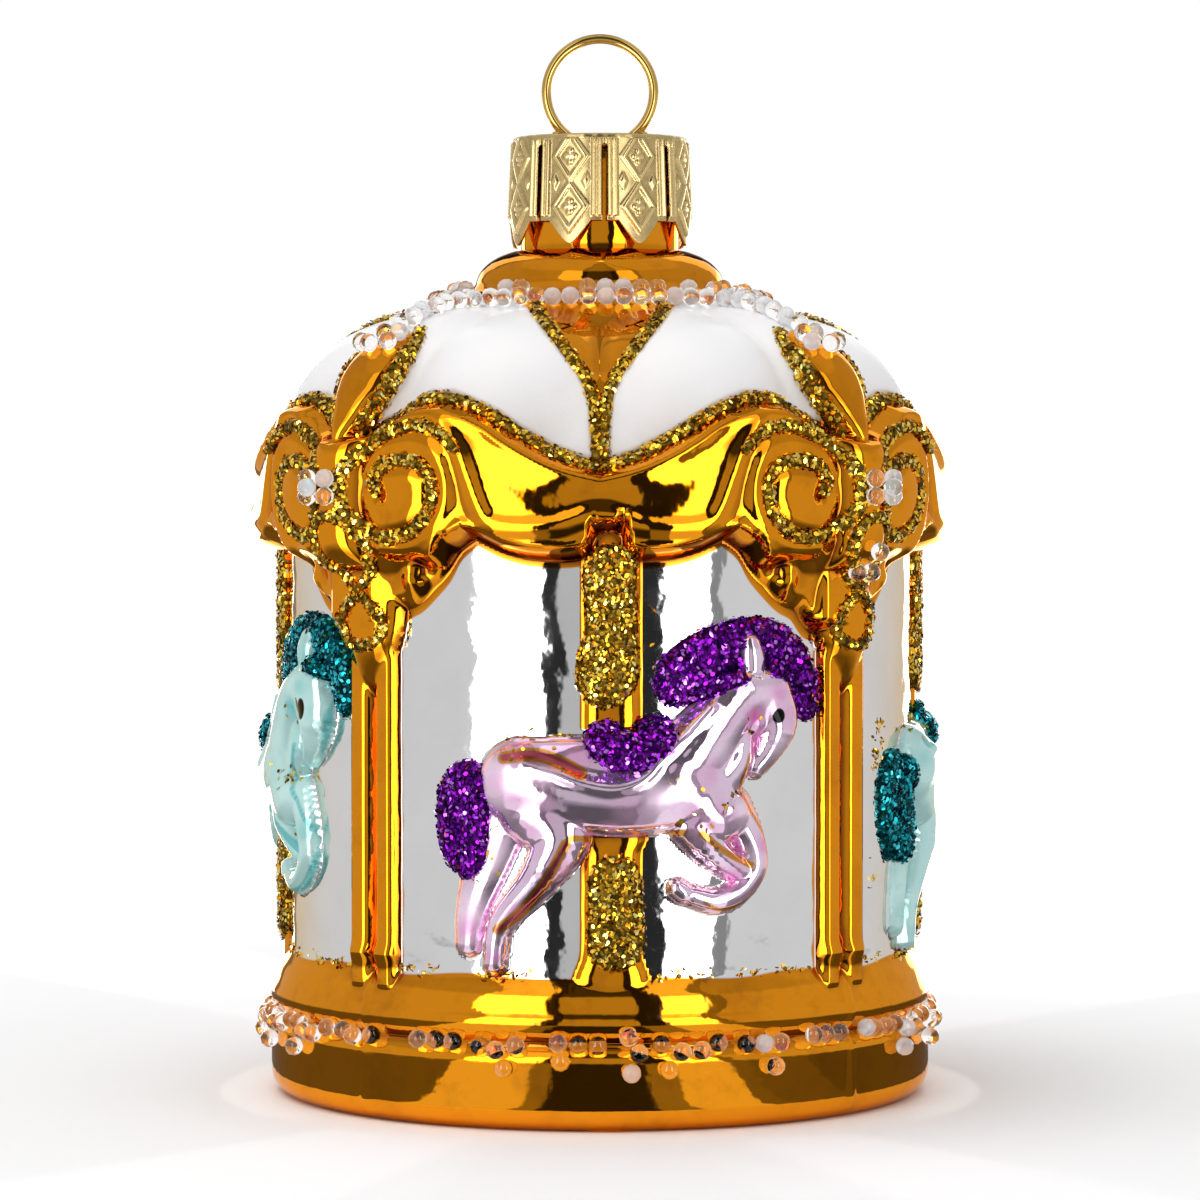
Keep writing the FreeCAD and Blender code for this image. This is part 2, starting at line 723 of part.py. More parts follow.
os.makedirs("parts", exist_ok=True)
relief = horse()
write("glass_shell", glass_shell(relief))
write("hanger_cap", hanger_cap())
write("hanger_wire", hanger_wire())
write("base_bead_garland", base_garland())
write("roof_bead_garland", roof_garland())
side_trims = {
    "pole_glitter": turned(pole_glitter(relief), drum_turn),
    "mane_glitter": turned(pad(MANE, relief), drum_turn),
    "saddle_glitter": turned(pad(SADDLE, relief), drum_turn),
    "tail_glitter": turned(pad(TAIL, relief), drum_turn),
    "wedge_glitter": wedge_glitter(),
}
for trim, shape in side_trims.items():
    for side, angle in SIDES.items():
        write(trim + "_" + side, turned(shape, angle))
corner_trims = {
    "swag_glitter": swag_glitter(),
    "rib_glitter": rib_glitter(),
    "capital_glitter": turned(capital_glitter(), drum_turn),
    "left_scroll_glitter": turned(scroll_glitter(-1), -scroll_angle),
    "right_scroll_glitter": turned(scroll_glitter(1), scroll_angle),
    "corner_bead_flower": flower(),
}
for trim, shape in corner_trims.items():
    for corner, angle in CORNERS.items():
        write(trim + "_" + corner, turned(shape, angle))
write("corner_bead_spray_front_right", turned(spray(), CORNERS["front_right"]))
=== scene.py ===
import json
import math

import bmesh
import bpy
import numpy as np
from bpy.props import FloatProperty, FloatVectorProperty, IntProperty, PointerProperty
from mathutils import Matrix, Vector

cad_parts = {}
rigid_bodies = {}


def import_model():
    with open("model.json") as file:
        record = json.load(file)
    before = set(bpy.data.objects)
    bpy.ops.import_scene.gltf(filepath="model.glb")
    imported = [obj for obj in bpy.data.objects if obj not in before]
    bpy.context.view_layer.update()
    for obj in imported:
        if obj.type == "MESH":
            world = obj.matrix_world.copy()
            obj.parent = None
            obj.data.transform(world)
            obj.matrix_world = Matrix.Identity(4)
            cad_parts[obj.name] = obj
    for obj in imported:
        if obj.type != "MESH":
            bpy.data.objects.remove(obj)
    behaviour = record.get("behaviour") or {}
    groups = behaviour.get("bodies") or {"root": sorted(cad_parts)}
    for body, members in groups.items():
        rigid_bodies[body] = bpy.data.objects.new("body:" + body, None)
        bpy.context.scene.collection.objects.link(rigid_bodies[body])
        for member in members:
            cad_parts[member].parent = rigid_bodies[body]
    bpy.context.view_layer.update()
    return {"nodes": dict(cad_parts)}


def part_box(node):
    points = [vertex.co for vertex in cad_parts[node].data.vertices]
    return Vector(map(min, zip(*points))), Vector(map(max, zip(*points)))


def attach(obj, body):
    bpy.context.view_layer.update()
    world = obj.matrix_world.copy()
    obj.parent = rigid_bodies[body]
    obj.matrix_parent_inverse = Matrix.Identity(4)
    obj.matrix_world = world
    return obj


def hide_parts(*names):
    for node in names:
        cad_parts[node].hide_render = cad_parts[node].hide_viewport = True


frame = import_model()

bl_info = {
    "name": "Carousel Glass Ornament",
    "version": (1, 0, 0),
    "blender": (4, 5, 0),
    "location": "3D View > Sidebar > Ornament",
    "description": "A mould-blown glass carousel with its glitter, beads, crown cap and hanger",
    "category": "Add Mesh",
}

MM = 0.001
SIDES = {"right": 0.0, "back": 90.0, "left": 180.0, "front": 270.0}
CORNERS = {"back_right": 45.0, "back_left": 135.0, "front_left": 225.0, "front_right": 315.0}
PINK_SIDES = ("front", "back")

# The glass, in millimetres and degrees. A side is drawn by its angle from the middle of the
# panel and by a level: the height up to fan_level, then the slope of a ray fanned from there.
drum_radius = 29.3
drum_foot = 13.2
drum_turn = 2.0
plinth_edge = 2.0
seam_top, seam_proud, seam_width = 13.8, 0.22, 0.45
panel_foot, panel_top = 14.0, 53.0
pole_proud, pole_half = 0.6, 2.35
pole_gap_foot, pole_gap_top = 13.4, 22.4
column_foot, column_top, column_ring = 9.0, 46.0, 15.0
reed_crest, reed_inner, reed_outer, reed_proud = 1.9, 1.5, 0.7, 1.25
capital_foot, capital_top, capital_proud = 38.0, 54.0, 2.6
turn_top, turn_run = 56.0, 8.0
silver_foot, column_gold, pearl_rise = 13.5, 2.95, 1.4
fan_level = 65.8
fan_top = 60.4
fan_scale = 0.4
neck_radius = 7.4
neck_foot = 78.8
glass_wall = 1.0
neck_top = 1000.0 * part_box("glass_shell")[1].z
side_columns = 181
strip_columns = 13
row_step = 0.21
fan_rows = 108
edge_rows = 9
crease_shade_rounds = 14
half_side = 45.0
drum_arc = drum_radius * math.pi / 180.0
cornice_arc = 32.6 * math.pi / 180.0

# Profile of the round body, (radius, height)
BODY = [
    (31.0, 2.0), (31.0, 6.3), (30.75, 6.9), (30.2, 7.7), (30.6, 8.3), (31.05, 9.0), (31.1, 9.6),
    (30.7, 10.6), (30.2, 12.0), (29.6, 13.0), (29.3, 13.7), (29.3, 57.0), (28.9, 60.0), (28.0, 62.8),
    (26.3, 65.8), (22.8, 68.4), (19.6, 70.7), (16.6, 72.7), (14.4, 73.9), (12.8, 74.6), (12.1, 75.1),
    (11.75, 75.6), (11.55, 76.2), (11.2, 76.9), (10.6, 77.55), (9.8, 78.1), (8.9, 78.5), (8.1, 78.75),
    (7.4, 78.8),
]
crown_radius, crown_foot = 11.75, 75.6
# The hollow inside from the roof down, and the underside from the middle out
INSIDE = [
    (19.5, 70.2), (25.6, 65.6), (28.2, 61.5), (28.2, 40.0), (28.2, 13.0), (29.0, 9.0), (29.6, 5.0),
    (28.5, 1.4), (26.0, glass_wall), (12.0, glass_wall),
]
UNDERSIDE = [(10.0, 0.0), (20.0, 0.0), (27.0, 0.0)]

# Puffed lobes of the roof, (angle from mid side, reach out, reach across, reach up)
LOBES = [
    (-45.0, 14.5, 8.0, 10.7), (-22.5, 14.3, 12.0, 10.3), (22.5, 14.3, 12.0, 10.3), (45.0, 14.5, 8.0, 10.7),
]
lobe_radius, lobe_height, lobe_blend = 16.0, 62.5, 1.1

# Edges of the cornice over half a side, (angle from mid side, height)
CORNICE_TOP = [
    (0, 58.9), (3.7, 59.4), (6.9, 60.0), (10.7, 61.0), (14.5, 62.2), (18.4, 63.5), (22.4, 64.45),
    (26.6, 65.0), (31, 64.9), (33.3, 64.4), (37.6, 63.1), (40, 62.6), (45, 62.0),
]
CORNICE_FOOT = [
    (0, 52.6), (1.2, 52.3), (2.4, 51.6), (3.6, 50.4), (7.2, 50.1), (11.1, 50.2), (15.9, 50.7), (21.6, 52.0),
]
BRACKET_FOOT = [
    (21.6, 52.0), (24.7, 50.8), (27.3, 48.8), (29.2, 47.7), (33, 46.0), (35.4, 45.4), (39, 43.6),
    (45, 43.0),
]
# The cornice's face, (height, radius)
CORNICE_FACE = [
    (42, 30.2), (46, 30.5), (49, 31.2), (51, 32.3), (54, 32.6), (59, 32.6), (62, 32.3), (66, 31.6),
]
cusp_angle = BRACKET_FOOT[0][0]
arch_shift = 1.6
pocket_place, knuckle_place = (32.0, 49.4), (33.2, 48.7)
nose_radius, nose_proud, nose_half, nose_foot, nose_top = 31.6, 3.2, 3.0, 49.5, 62.5

# Half width of the capitals, (height, half width)
CAPITAL_SWELL = [(38.0, 0.4), (40.0, 1.8), (42.5, 2.9), (45.0, 3.5), (48.0, 3.6), (51.0, 3.0), (54.0, 1.0)]

# Ridges and grooves pressed into the cornice: how proud, how wide, and (angle, height) points
PRESSED = {
    "swag ridge": (0.35, 0.85, [
        (0, 54.6), (1.7, 54.5), (4.5, 53.9), (7.3, 53.5), (12.7, 53.3), (17.0, 53.7), (19.0, 54.9),
        (21.0, 57.6), (23.0, 60.4), (26, 62.6),
    ]),
    "swag groove": (-0.15, 0.6, [
        (2.4, 52.9), (5.5, 52.2), (12.0, 52.1), (17.2, 52.4), (20.4, 53.7), (22.4, 56.2), (23.9, 59.0),
    ]),
    "swag hollow": (-0.3, 1.9, [(0, 56.6), (5, 56.4), (9, 56.7), (13, 57.8), (17, 60.0), (20.0, 62.0)]),
    "lip ridge": (0.25, 0.8, [(3.6, 51.3), (8, 51.0), (14, 51.3), (20, 52.4)]),
    "bracket ridge": (0.45, 0.9, [(21.5, 53.1), (24.5, 52.4), (28.0, 51.0), (32, 51.0), (36.0, 51.6)]),
    "bracket groove": (-0.5, 0.7, [(22.6, 52.0), (25.5, 51.2), (28.2, 49.9), (31, 49.8)]),
    "bracket rim": (0.35, 0.5, [(22.6, 51.6), (25.4, 50.5), (28.0, 48.8), (30.6, 47.4), (34, 46.2)]),
}
# The scroll's coil from its start to its eye, (angle, height)
SCROLL_LINE = [
    (22.5, 59.9), (25.7, 61.6), (29.9, 62.3), (34.3, 61.9), (38.6, 60.6), (41.5, 58.8), (42.6, 56.9),
    (42.0, 54.9), (39.8, 53.3), (36.2, 52.4), (32.3, 52.6), (29.0, 53.8), (27.1, 55.7), (27.4, 57.7),
    (29.9, 59.0), (33.4, 59.2), (36.2, 58.6), (37.7, 57.4), (36.6, 56.2),
]
scroll_angle, scroll_height, scroll_reach = 34.3, 57.0, 6.4
scroll_points, scroll_half_widths = (0, 3, 14, 18), (0.4, 0.56, 0.56, 0.75)

# Half width of the gold wedge in the roof's valleys, (level, half width)
WEDGE_HALF_WIDTH = [
    (58.0, 0.3), (60.4, 0.4), (62.4, 0.5), (64.6, 0.8), (66.5, 1.5), (68.7, 2.9), (71.2, 4.4), (74.3, 5.9),
    (80, 9),
]

# The corner rib's crest, (radius, height)
RIB_CREST = [
    (31.0, 58.8), (33.2, 59.6), (33.7, 60.6), (33.5, 61.8), (32.9, 63.4), (32.2, 65.0), (31.3, 66.6),
    (30.2, 68.0), (28.8, 69.2), (27.0, 69.9), (24.5, 70.2), (20.0, 70.5),
]
# Half width of the corner rib, (level, half width)
RIB_HALF_WIDTH = [
    (59.0, 0.5), (61.0, 1.0), (62.5, 1.7), (64.0, 2.4), (65.8, 3.2), (67.2, 3.4), (68.3, 3.1), (69.3, 2.3),
    (70.2, 0.9), (70.8, -1.0),
]
rib_depth = 2.2

# The horse, (arc length along the drum, height above its foot, radius), chain by chain with its relief
HORSE = {
    "barrel": (2.8, [(-8.0, 17.7, 3.8), (-3.5, 16.8, 3.5), (1.0, 16.3, 3.4), (5.6, 17.2, 3.9)]),
    "back": (2.1, [(-8.3, 19.0, 2.4), (-3.2, 19.2, 2.5), (2.2, 19.4, 2.5), (5.4, 20.0, 2.8)]),
    "neck": (2.5, [(6.2, 18.6, 3.8), (8.5, 21.6, 3.0), (10.7, 24.2, 2.6), (12.4, 25.3, 2.3)]),
    "head": (2.5, [(14.1, 25.3, 2.5), (15.0, 22.8, 2.2), (14.2, 20.3, 1.5), (13.2, 18.9, 1.1)]),
    "throat": (1.9, [(9.4, 17.6, 2.4), (10.9, 19.2, 1.7), (11.6, 21.4, 1.3)]),
    "cheek": (2.7, [(12.8, 24.4, 1.7), (12.9, 22.9, 1.5)]),
    "ear": (2.6, [(12.8, 26.9, 1.2), (12.7, 28.6, 1.3), (12.6, 29.8, 1.0)]),
    "breast": (2.6, [(7.2, 16.8, 3.5), (9.0, 14.6, 2.7), (10.4, 15.0, 2.0)]),
    "near_foreleg": (2.3, [(7.2, 13.9, 2.2), (8.9, 11.6, 1.6), (11.4, 9.7, 1.2)]),
    "far_foreleg": (1.7, [
        (10.9, 15.2, 2.0), (12.4, 12.8, 1.5), (13.0, 10.0, 1.3), (11.6, 7.9, 1.2), (9.4, 7.0, 1.1),
        (7.2, 7.5, 0.95),
    ]),
    "fore_hoof": (1.4, [(6.3, 7.8, 1.0), (5.8, 8.2, 0.95)]),
    "near_hind_leg": (2.5, [
        (-6.4, 15.4, 3.6), (-4.6, 12.8, 2.7), (-6.4, 9.2, 1.75), (-9.7, 5.2, 1.2), (-10.4, 1.5, 1.1),
    ]),
    "far_hind_leg": (1.0, [(-9.4, 15.8, 2.8), (-11.1, 10.8, 2.2), (-12.6, 6.0, 1.5), (-12.9, 3.2, 1.2)]),
}
# Edge and field of the saddle cloth, (arc length, height)
CLOTH_RIM = [
    (-7.4, 19.4), (-4.8, 18.7), (-2.6, 17.8), (0.0, 17.3), (2.3, 18.0), (4.1, 19.9), (6.3, 22.2),
    (8.2, 24.3),
]
CLOTH_FIELD = [(-6.5, 20.4), (-3.5, 20.0), (0.0, 19.2), (3.0, 20.4), (5.2, 22.4)]
# Lines painted on the horse, half width and (arc length, height)
PAINTED_LINES = [
    (0.26, [(-3.4, 12.9), (0.0, 12.5), (3.4, 12.7), (6.0, 13.3)]),
    (0.42, [(-3.8, 12.4), (-5.2, 9.6), (-7.4, 6.6), (-9.8, 4.6)]),
    (0.30, [(7.4, 13.2), (9.6, 11.5), (12.2, 10.2)]),
    (0.16, [(17.2, 23.6), (16.7, 21.4), (15.4, 19.3), (14.2, 18.0), (12.6, 17.6)]),
    (0.15, [
        (11.9, 20.0), (11.2, 16.8), (13.0, 13.6), (14.4, 11.6), (14.2, 9.6), (12.4, 7.2), (9.6, 6.3),
        (8.0, 7.0),
    ]),
    (0.55, [(-9.0, 19.9), (-6.6, 20.2), (-4.4, 19.6), (-2.6, 18.6)]),
]
# Places of deeper lacquer on the horse, (arc length, height, size, strength)
BLUSHES = [
    (12.2, 23.4, 1.0, 1.0), (12.9, 21.8, 0.8, 0.8), (14.4, 25.4, 1.0, 0.6), (9.0, 23.4, 1.3, 0.4),
    (10.6, 8.9, 1.3, 0.7), (13.4, 12.0, 0.9, 0.6), (-10.6, 14.0, 1.5, 0.45), (-8.0, 6.2, 1.0, 0.7),
    (-12.6, 4.5, 1.2, 0.6), (1.5, 15.2, 1.8, 0.35), (-3.0, 20.0, 1.8, 0.5), (-8.0, 20.4, 1.4, 0.6),
    (6.8, 15.0, 1.2, 0.4), (4.8, 21.6, 1.0, 0.55), (-10.2, 2.2, 0.8, 0.6),
]
# Places where the horse's lacquer is milky, (arc length, height, size, strength)
HAZE = [
    (-9.8, 17.6, 2.6, 0.9), (-11.4, 11.5, 2.6, 0.9), (-12.6, 5.5, 2.6, 0.9), (13.6, 24.6, 2.2, 0.6),
    (14.6, 21.0, 1.6, 0.5), (9.4, 20.0, 2.0, 0.45), (3.6, 16.4, 2.0, 0.6), (11.4, 15.2, 2.0, 0.6),
    (12.8, 11.0, 1.8, 0.5), (-5.4, 18.4, 1.5, 0.5), (-8.2, 5.8, 1.6, 0.5),
]
eye_place, eye_half_width, eye_half_height = (14.3, 23.4), 0.5, 0.66
leaf_eye_gap, leaf_eye_half_width, leaf_eye_half_height = 0.55, 0.55, 0.95

# Glitter on the horse and its pole, (arc length, height, half width)
MANE = [
    (4.2, 25.0, 1.8), (6.8, 27.2, 2.7), (9.8, 28.7, 2.8), (13.1, 29.4, 2.7), (15.9, 28.8, 2.4),
    (18.3, 26.4, 1.7), (19.0, 22.8, 1.0),
]
SADDLE = [
    [(-2.0, 22.3, 1.5), (-0.4, 21.2, 1.9), (1.3, 18.8, 0.9)],
    [(5.2, 22.7, 1.4), (3.4, 21.6, 1.8), (1.5, 18.8, 0.9)],
]
TAIL = [(-11.9, 19.1, 1.8), (-13.3, 16.3, 2.8), (-13.3, 12.6, 2.7), (-12.5, 9.2, 1.7)]
POLE_COATS = [
    [
        (0.0, 38.6, 2.5), (-0.2, 35.5, 2.4), (0.0, 31.5, 2.3), (-0.4, 28.0, 2.8), (-0.4, 25.8, 2.7),
        (-0.2, 24.2, 1.8),
    ],
    [(0.2, 11.2, 2.0), (0.3, 9.0, 2.4), (0.4, 5.5, 2.5), (0.4, 1.0, 2.6)],
]
# Flakes along the sill, (start angle, end angle)
SILL_LINES = [(-38.0, -29.0), (-22.0, -12.0), (8.0, 20.0), (24.0, 40.0)]
sill_level, sill_half, sill_cover = 13.7, 0.35, 0.5
# Height of a strip's edge over the glass, depth of its underside and of dust under the glass
strip_rise, strip_sink, dust_sink = 0.03, 0.2, 0.06

# Stray flakes, share of a full cover and (arc length, height, half width)
STRAY = [
    (0.05, [(-9.6, 20.6, 1.4), (-6.0, 21.2, 1.4), (-2.6, 20.0, 1.4)]),
    (0.03, [(4.0, 17.2, 2.4), (8.0, 15.6, 2.6), (11.6, 15.0, 1.6)]),
    (0.06, [(12.4, 24.4, 0.9), (11.4, 21.4, 0.9)]),
    (0.02, [(-10.6, 14.4, 1.8), (-11.6, 8.4, 1.8)]),
    (0.05, [(3.6, 34.0, 0.7), (3.6, 26.0, 0.7)]),
]
TURQUOISE_STRAY = [
    (0.3, [(10.7, 18.4, 1.0), (10.8, 16.4, 1.0)]),
    (0.4, [(11.2, 12.9, 0.8), (11.6, 11.0, 0.8)]),
    (0.3, [(-15.6, 22.6, 0.8), (-16.4, 20.0, 1.3), (-17.0, 17.4, 0.9)]),
    (0.1, [(-17.6, 10.0, 0.8), (-17.8, 7.0, 0.8)]),
    (0.15, [(-10.0, 13.6, 0.8), (-10.4, 11.8, 0.8)]),
]

# Glitter on the roof and corners, (angle, level, half width)
WEDGE_LINE = [
    (22.5, 76.4, 0.4), (19.0, 74.4, 0.42), (12.0, 71.2, 0.45), (7.0, 68.7, 0.48), (3.0, 66.5, 0.5),
    (1.4, 64.6, 0.52), (0.8, 62.4, 0.52), (0.7, 60.4, 0.5), (0.6, 59.2, 0.45),
]
RIB_LINE = [
    (3.6, 70.6, 0.32), (5.2, 69.5, 0.36), (6.1, 67.9, 0.36), (5.9, 66.2, 0.36), (4.7, 64.5, 0.34),
    (3.3, 62.9, 0.32), (2.4, 61.4, 0.3),
]
KNOT_LINE = [
    (0.6, 47.7), (3.1, 49.3), (4.4, 51.6), (2.6, 53.7), (0.0, 54.2), (-2.6, 53.7), (-4.4, 51.6),
    (-3.1, 49.3), (-0.5, 47.7), (2.8, 46.2), (4.3, 44.7), (3.2, 43.2), (0.0, 42.6), (-3.2, 43.2),
    (-4.3, 44.7), (-2.8, 46.2), (0.3, 47.4),
]
# Levels of the bead garlands; room, seat and lift of a bead in its radii; how flowers draw together
garland_level, garland_upper, garland_end = 76.5, 78.7, 68.4
groove_level = 7.5
bead_room, bead_seat = 1.8, 0.85
flower_draw, flower_lift = (0.89, 0.89, 0.6), 1.3

# Clusters of the base garland, in bead widths (along, up)
CLUSTERS = [
    [(0.0, 0.0), (0.95, -0.25)],
    [(0.35, 0.75), (0.0, -0.2), (0.9, -0.45), (0.5, -1.3)],
    [(0.75, 0.5), (0.0, -0.2), (0.9, -0.65), (1.75, 0.0), (2.75, 0.0)],
    [(0.0, 0.2), (0.95, -0.3), (1.95, -0.2), (1.45, -1.1)],
    [(0.0, 0.0), (1.0, -0.35), (0.3, -1.1), (1.6, 0.5), (2.05, -0.4), (3.0, 0.0)],
]


def colour_setting(name, description, value):
    return FloatVectorProperty(name=name, description=description, subtype="COLOR", size=3, default=value)


def length_setting(name, description, value):
    return FloatProperty(name=name, description=description, unit="LENGTH", default=value)


class GlassLook(bpy.types.PropertyGroup):
    """Lacquers and surface of the blown glass."""
    gold: colour_setting("Gold", "Amber lacquer over silver", (0.88, 0.31, 0.003))
    # Deep gold colours random darker clouds and the painted shade in the gold's creases.
    deep_gold_and_shade: colour_setting("Deep gold", "Lacquer pooled in creases", (0.34, 0.085, 0.002))
    silver: colour_setting("Silver", "Mirror of the panels", (0.90, 0.90, 0.91))
    pearl: colour_setting("Pearl", "Matte white of the roof lobes", (0.86, 0.86, 0.88))
    overspray: colour_setting("Overspray", "Brown fade at the edge of the white", (0.42, 0.20, 0.06))
    pink: colour_setting("Pink", "Thin lacquer of the front and back horses", (0.93, 0.73, 0.92))
    # Blush also colours the painted shade in the pink horses' creases.
    blush: colour_setting("Blush", "Deeper lacquer on cheek, joints and hooves", (0.72, 0.16, 0.52))
    turquoise: colour_setting("Turquoise", "Lacquer of the side horses", (0.55, 0.86, 0.84))
    # Deep turquoise also colours the painted shade in the side horses' creases.
    turquoise_deep: colour_setting("Deep turquoise", "Shading of the side horses", (0.16, 0.56, 0.58))
    outline: colour_setting("Outline", "Amber line on the pink horses", (0.62, 0.28, 0.04))
    wine: colour_setting("Wine", "Middle of the wider lines", (0.50, 0.09, 0.13))
    ripple: length_setting("Ripple", "Height of the mould's ripple on the panels", 0.00004)


class GlitterLook(bpy.types.PropertyGroup):
    """Flakes and the glue they stand in."""
    flake: length_setting("Flake", "Width of a flake", 0.00046)
    per_area: FloatProperty(
        name="Flakes per square millimetre", description="How densely the flakes lie", default=12.0,
    )
    lean: FloatProperty(
        name="Lean", description="How far flakes tilt from the glue", subtype="ANGLE", default=1.0,
    )
    line_height: length_setting("Line height", "Height of a glue line", 0.00034)
    pad_height: length_setting("Pad height", "Height of a glue pad", 0.00085)
    line_half_width: length_setting("Line half width", "Half width of a drawn line", 0.00043)
    gold: colour_setting("Gold", "Gold flakes", (1.0, 0.60, 0.045))
    purple: colour_setting("Purple", "Purple flakes", (0.30, 0.012, 0.58))
    teal: colour_setting("Teal", "Teal flakes", (0.012, 0.38, 0.46))
    seed: IntProperty(name="Seed", description="Draw of the scatter", default=7)


class BeadLook(bpy.types.PropertyGroup):
    """The glued glass beads."""
    frosted: FloatProperty(
        name="Frosted share", description="Share of beads that are milky", subtype="FACTOR", default=0.4,
    )
    base_frosted: FloatProperty(
        name="Frosted share, base", description="Share of milky beads round the base", subtype="FACTOR",
        default=0.1,
    )
    seed: IntProperty(name="Seed", description="Draw of the frosted beads", default=3)


class CapLook(bpy.types.PropertyGroup):
    """The stamped crown cap and its wire."""
    emboss: length_setting("Emboss", "Height of the stamped pattern", 0.00022)
    sheet: length_setting("Sheet", "Thickness of the sheet", 0.0003)
    champagne: colour_setting("Champagne", "Satin colour of the cap", (0.82, 0.61, 0.27))
    wire: colour_setting("Wire", "Polished wire", (0.72, 0.46, 0.13))


class StageLook(bpy.types.PropertyGroup):
    """Floor, light tent and camera."""
    backdrop: colour_setting("Backdrop", "Colour behind the object", (1.0, 1.0, 1.0))
    tent: FloatProperty(name="Tent", description="Brightness of the light tent", default=0.66)
    softbox: FloatProperty(name="Softbox", description="Brightness of the softboxes", default=4.5)
    lens: FloatProperty(name="Lens", description="Focal length of the camera", unit="CAMERA", default=136.7)
    distance: length_setting("Distance", "Camera to the axis", 0.430)
    height: length_setting("Height", "Camera above the floor", 0.060)
    pitch: FloatProperty(
        name="Pitch", description="Camera's downward tilt", subtype="ANGLE", default=math.radians(1.87),
    )


# Curves and distances

def curve(points):
    """A smooth function through (x, y) points that never overshoots them."""
    xs, ys = np.array(points, float).T
    width = np.diff(xs)
    rise = np.diff(ys) / width
    slope = np.zeros_like(ys)
    turning = rise[:-1] * rise[1:] <= 0
    mean = 2 * rise[:-1] * rise[1:] / np.where(turning, 1.0, rise[:-1] + rise[1:])
    slope[1:-1] = np.where(turning, 0.0, mean)
    slope[0], slope[-1] = rise[0], rise[-1]

    def value(x):
        x = np.clip(x, xs[0], xs[-1])
        i = np.clip(np.searchsorted(xs, x) - 1, 0, len(width) - 1)
        t = (x - xs[i]) / width[i]
        start = (1 + 2 * t) * (1 - t) ** 2 * ys[i] + t * (1 - t) ** 2 * width[i] * slope[i]
        return start + t * t * (3 - 2 * t) * ys[i + 1] + t * t * (t - 1) * width[i] * slope[i + 1]

    return value


def smooth_line(points, parts=6):
    """Points along a smooth curve through a list of points, each a row of numbers."""
    p = np.array(points, float)
    p = np.vstack([2 * p[0] - p[1], p, 2 * p[-1] - p[-2]])
    t = np.linspace(0, 1, parts, endpoint=False)[:, None]
    runs = []
    for a, b, c, d in zip(p, p[1:], p[2:], p[3:]):
        bend = 2 * a - 5 * b + 4 * c - d
        twist = 3 * b - a - 3 * c + d
        runs.append(0.5 * (2 * b + (c - a) * t + bend * t ** 2 + twist * t ** 3))
    return np.vstack(runs + [p[-2:-1]])


def smooth_max(a, b, blend):
    """The larger of two values, with the crossing rounded over a blend."""
    share = np.clip(0.5 + 0.5 * (a - b) / blend, 0.0, 1.0)
    return b + (a - b) * share + blend * share * (1.0 - share)


def line_distance(x, y, points, x_scale=1.0):
    """Distance from a grid of places to a smooth line, in millimetres."""
    line = smooth_line(points) * np.array([x_scale, 1.0])
    best = np.full(np.broadcast(x, y).shape, 1e6)
    for (ax, ay), (bx, by) in zip(line, line[1:]):
        dx, dy = bx - ax, by - ay
        t = np.clip(((x - ax) * dx + (y - ay) * dy) / (dx * dx + dy * dy + 1e-9), 0, 1)
        best = np.minimum(best, (x - ax - t * dx) ** 2 + (y - ay - t * dy) ** 2)
    return np.sqrt(best)


def quarter_round(depth, width):
    """0 at an edge, rising in a quarter circle to 1 at a width inside it."""
    t = 1 - np.clip(depth / width, 0, 1)
    return np.sqrt(1 - t * t)


def eased(depth, width):
    """0 at an edge, rising smoothly to 1 at a width inside it."""
    t = np.clip(depth / width, 0, 1)
    return t * t * (3 - 2 * t)


def dome(place, half):
    """A half ellipse: 1 in the middle, 0 from half outwards."""
    return np.sqrt(np.clip(1 - (place / half) ** 2, 0, None))


def hump(distance, width):
    """A bell: 1 at no distance, fading over a width."""
    return np.exp(-(distance / width) ** 2)


def reach_points(profile):
    """(level, reach) along the rays of the grid for (radius, height) points."""
    points = []
    for radius, height in profile:
        if height <= fan_level:
            points.append((height, radius))
        else:
            slope = math.degrees(math.atan2(height - fan_level, radius))
            points.append((fan_level + fan_scale * slope, math.hypot(radius, height - fan_level)))
    return points


# The glass as a grid of radius and height

def body_reach(level):
    """Reach of the plain round body, with the plinth's rounded lower edge."""
    edge = [
        (BODY[0][0] - plinth_edge * (1 - math.sin(t)), plinth_edge * (1 - math.cos(t)))
        for t in np.linspace(0, math.pi / 2, edge_rows)[:-1]
    ]
    return curve(reach_points(edge + BODY))(level)


def lobe_reach(angle, base, rise, centre, out, across, up):
    """Where the grid's rays leave one puffed lobe of the roof."""
    turn = np.radians(angle - centre)
    x = np.cos(rise) * np.cos(turn) / out
    y = np.cos(rise) * np.sin(turn) / across
    z = np.sin(rise) / up
    start_x, start_z = -lobe_radius / out, (base - lobe_height) / up
    a = x * x + y * y + z * z
    b = x * start_x + z * start_z
    c = start_x ** 2 + start_z ** 2 - 1
    inside = b * b - a * c
    return (-b + np.sign(inside) * np.sqrt(np.abs(inside))) / a


def chain_places(u, h, chain):
    """For each link of a chain of discs: how far each place is from its line, and the radius there."""
    chain = smooth_line(chain, 4)
    for (u0, h0, r0), (u1, h1, r1) in zip(chain, chain[1:]):
        du, dh = u1 - u0, h1 - h0
        t = np.clip(((u - u0) * du + (h - h0) * dh) / (du * du + dh * dh), 0, 1)
        yield np.hypot(u - u0 - t * du, h - h0 - t * dh), r0 + t * (r1 - r0)


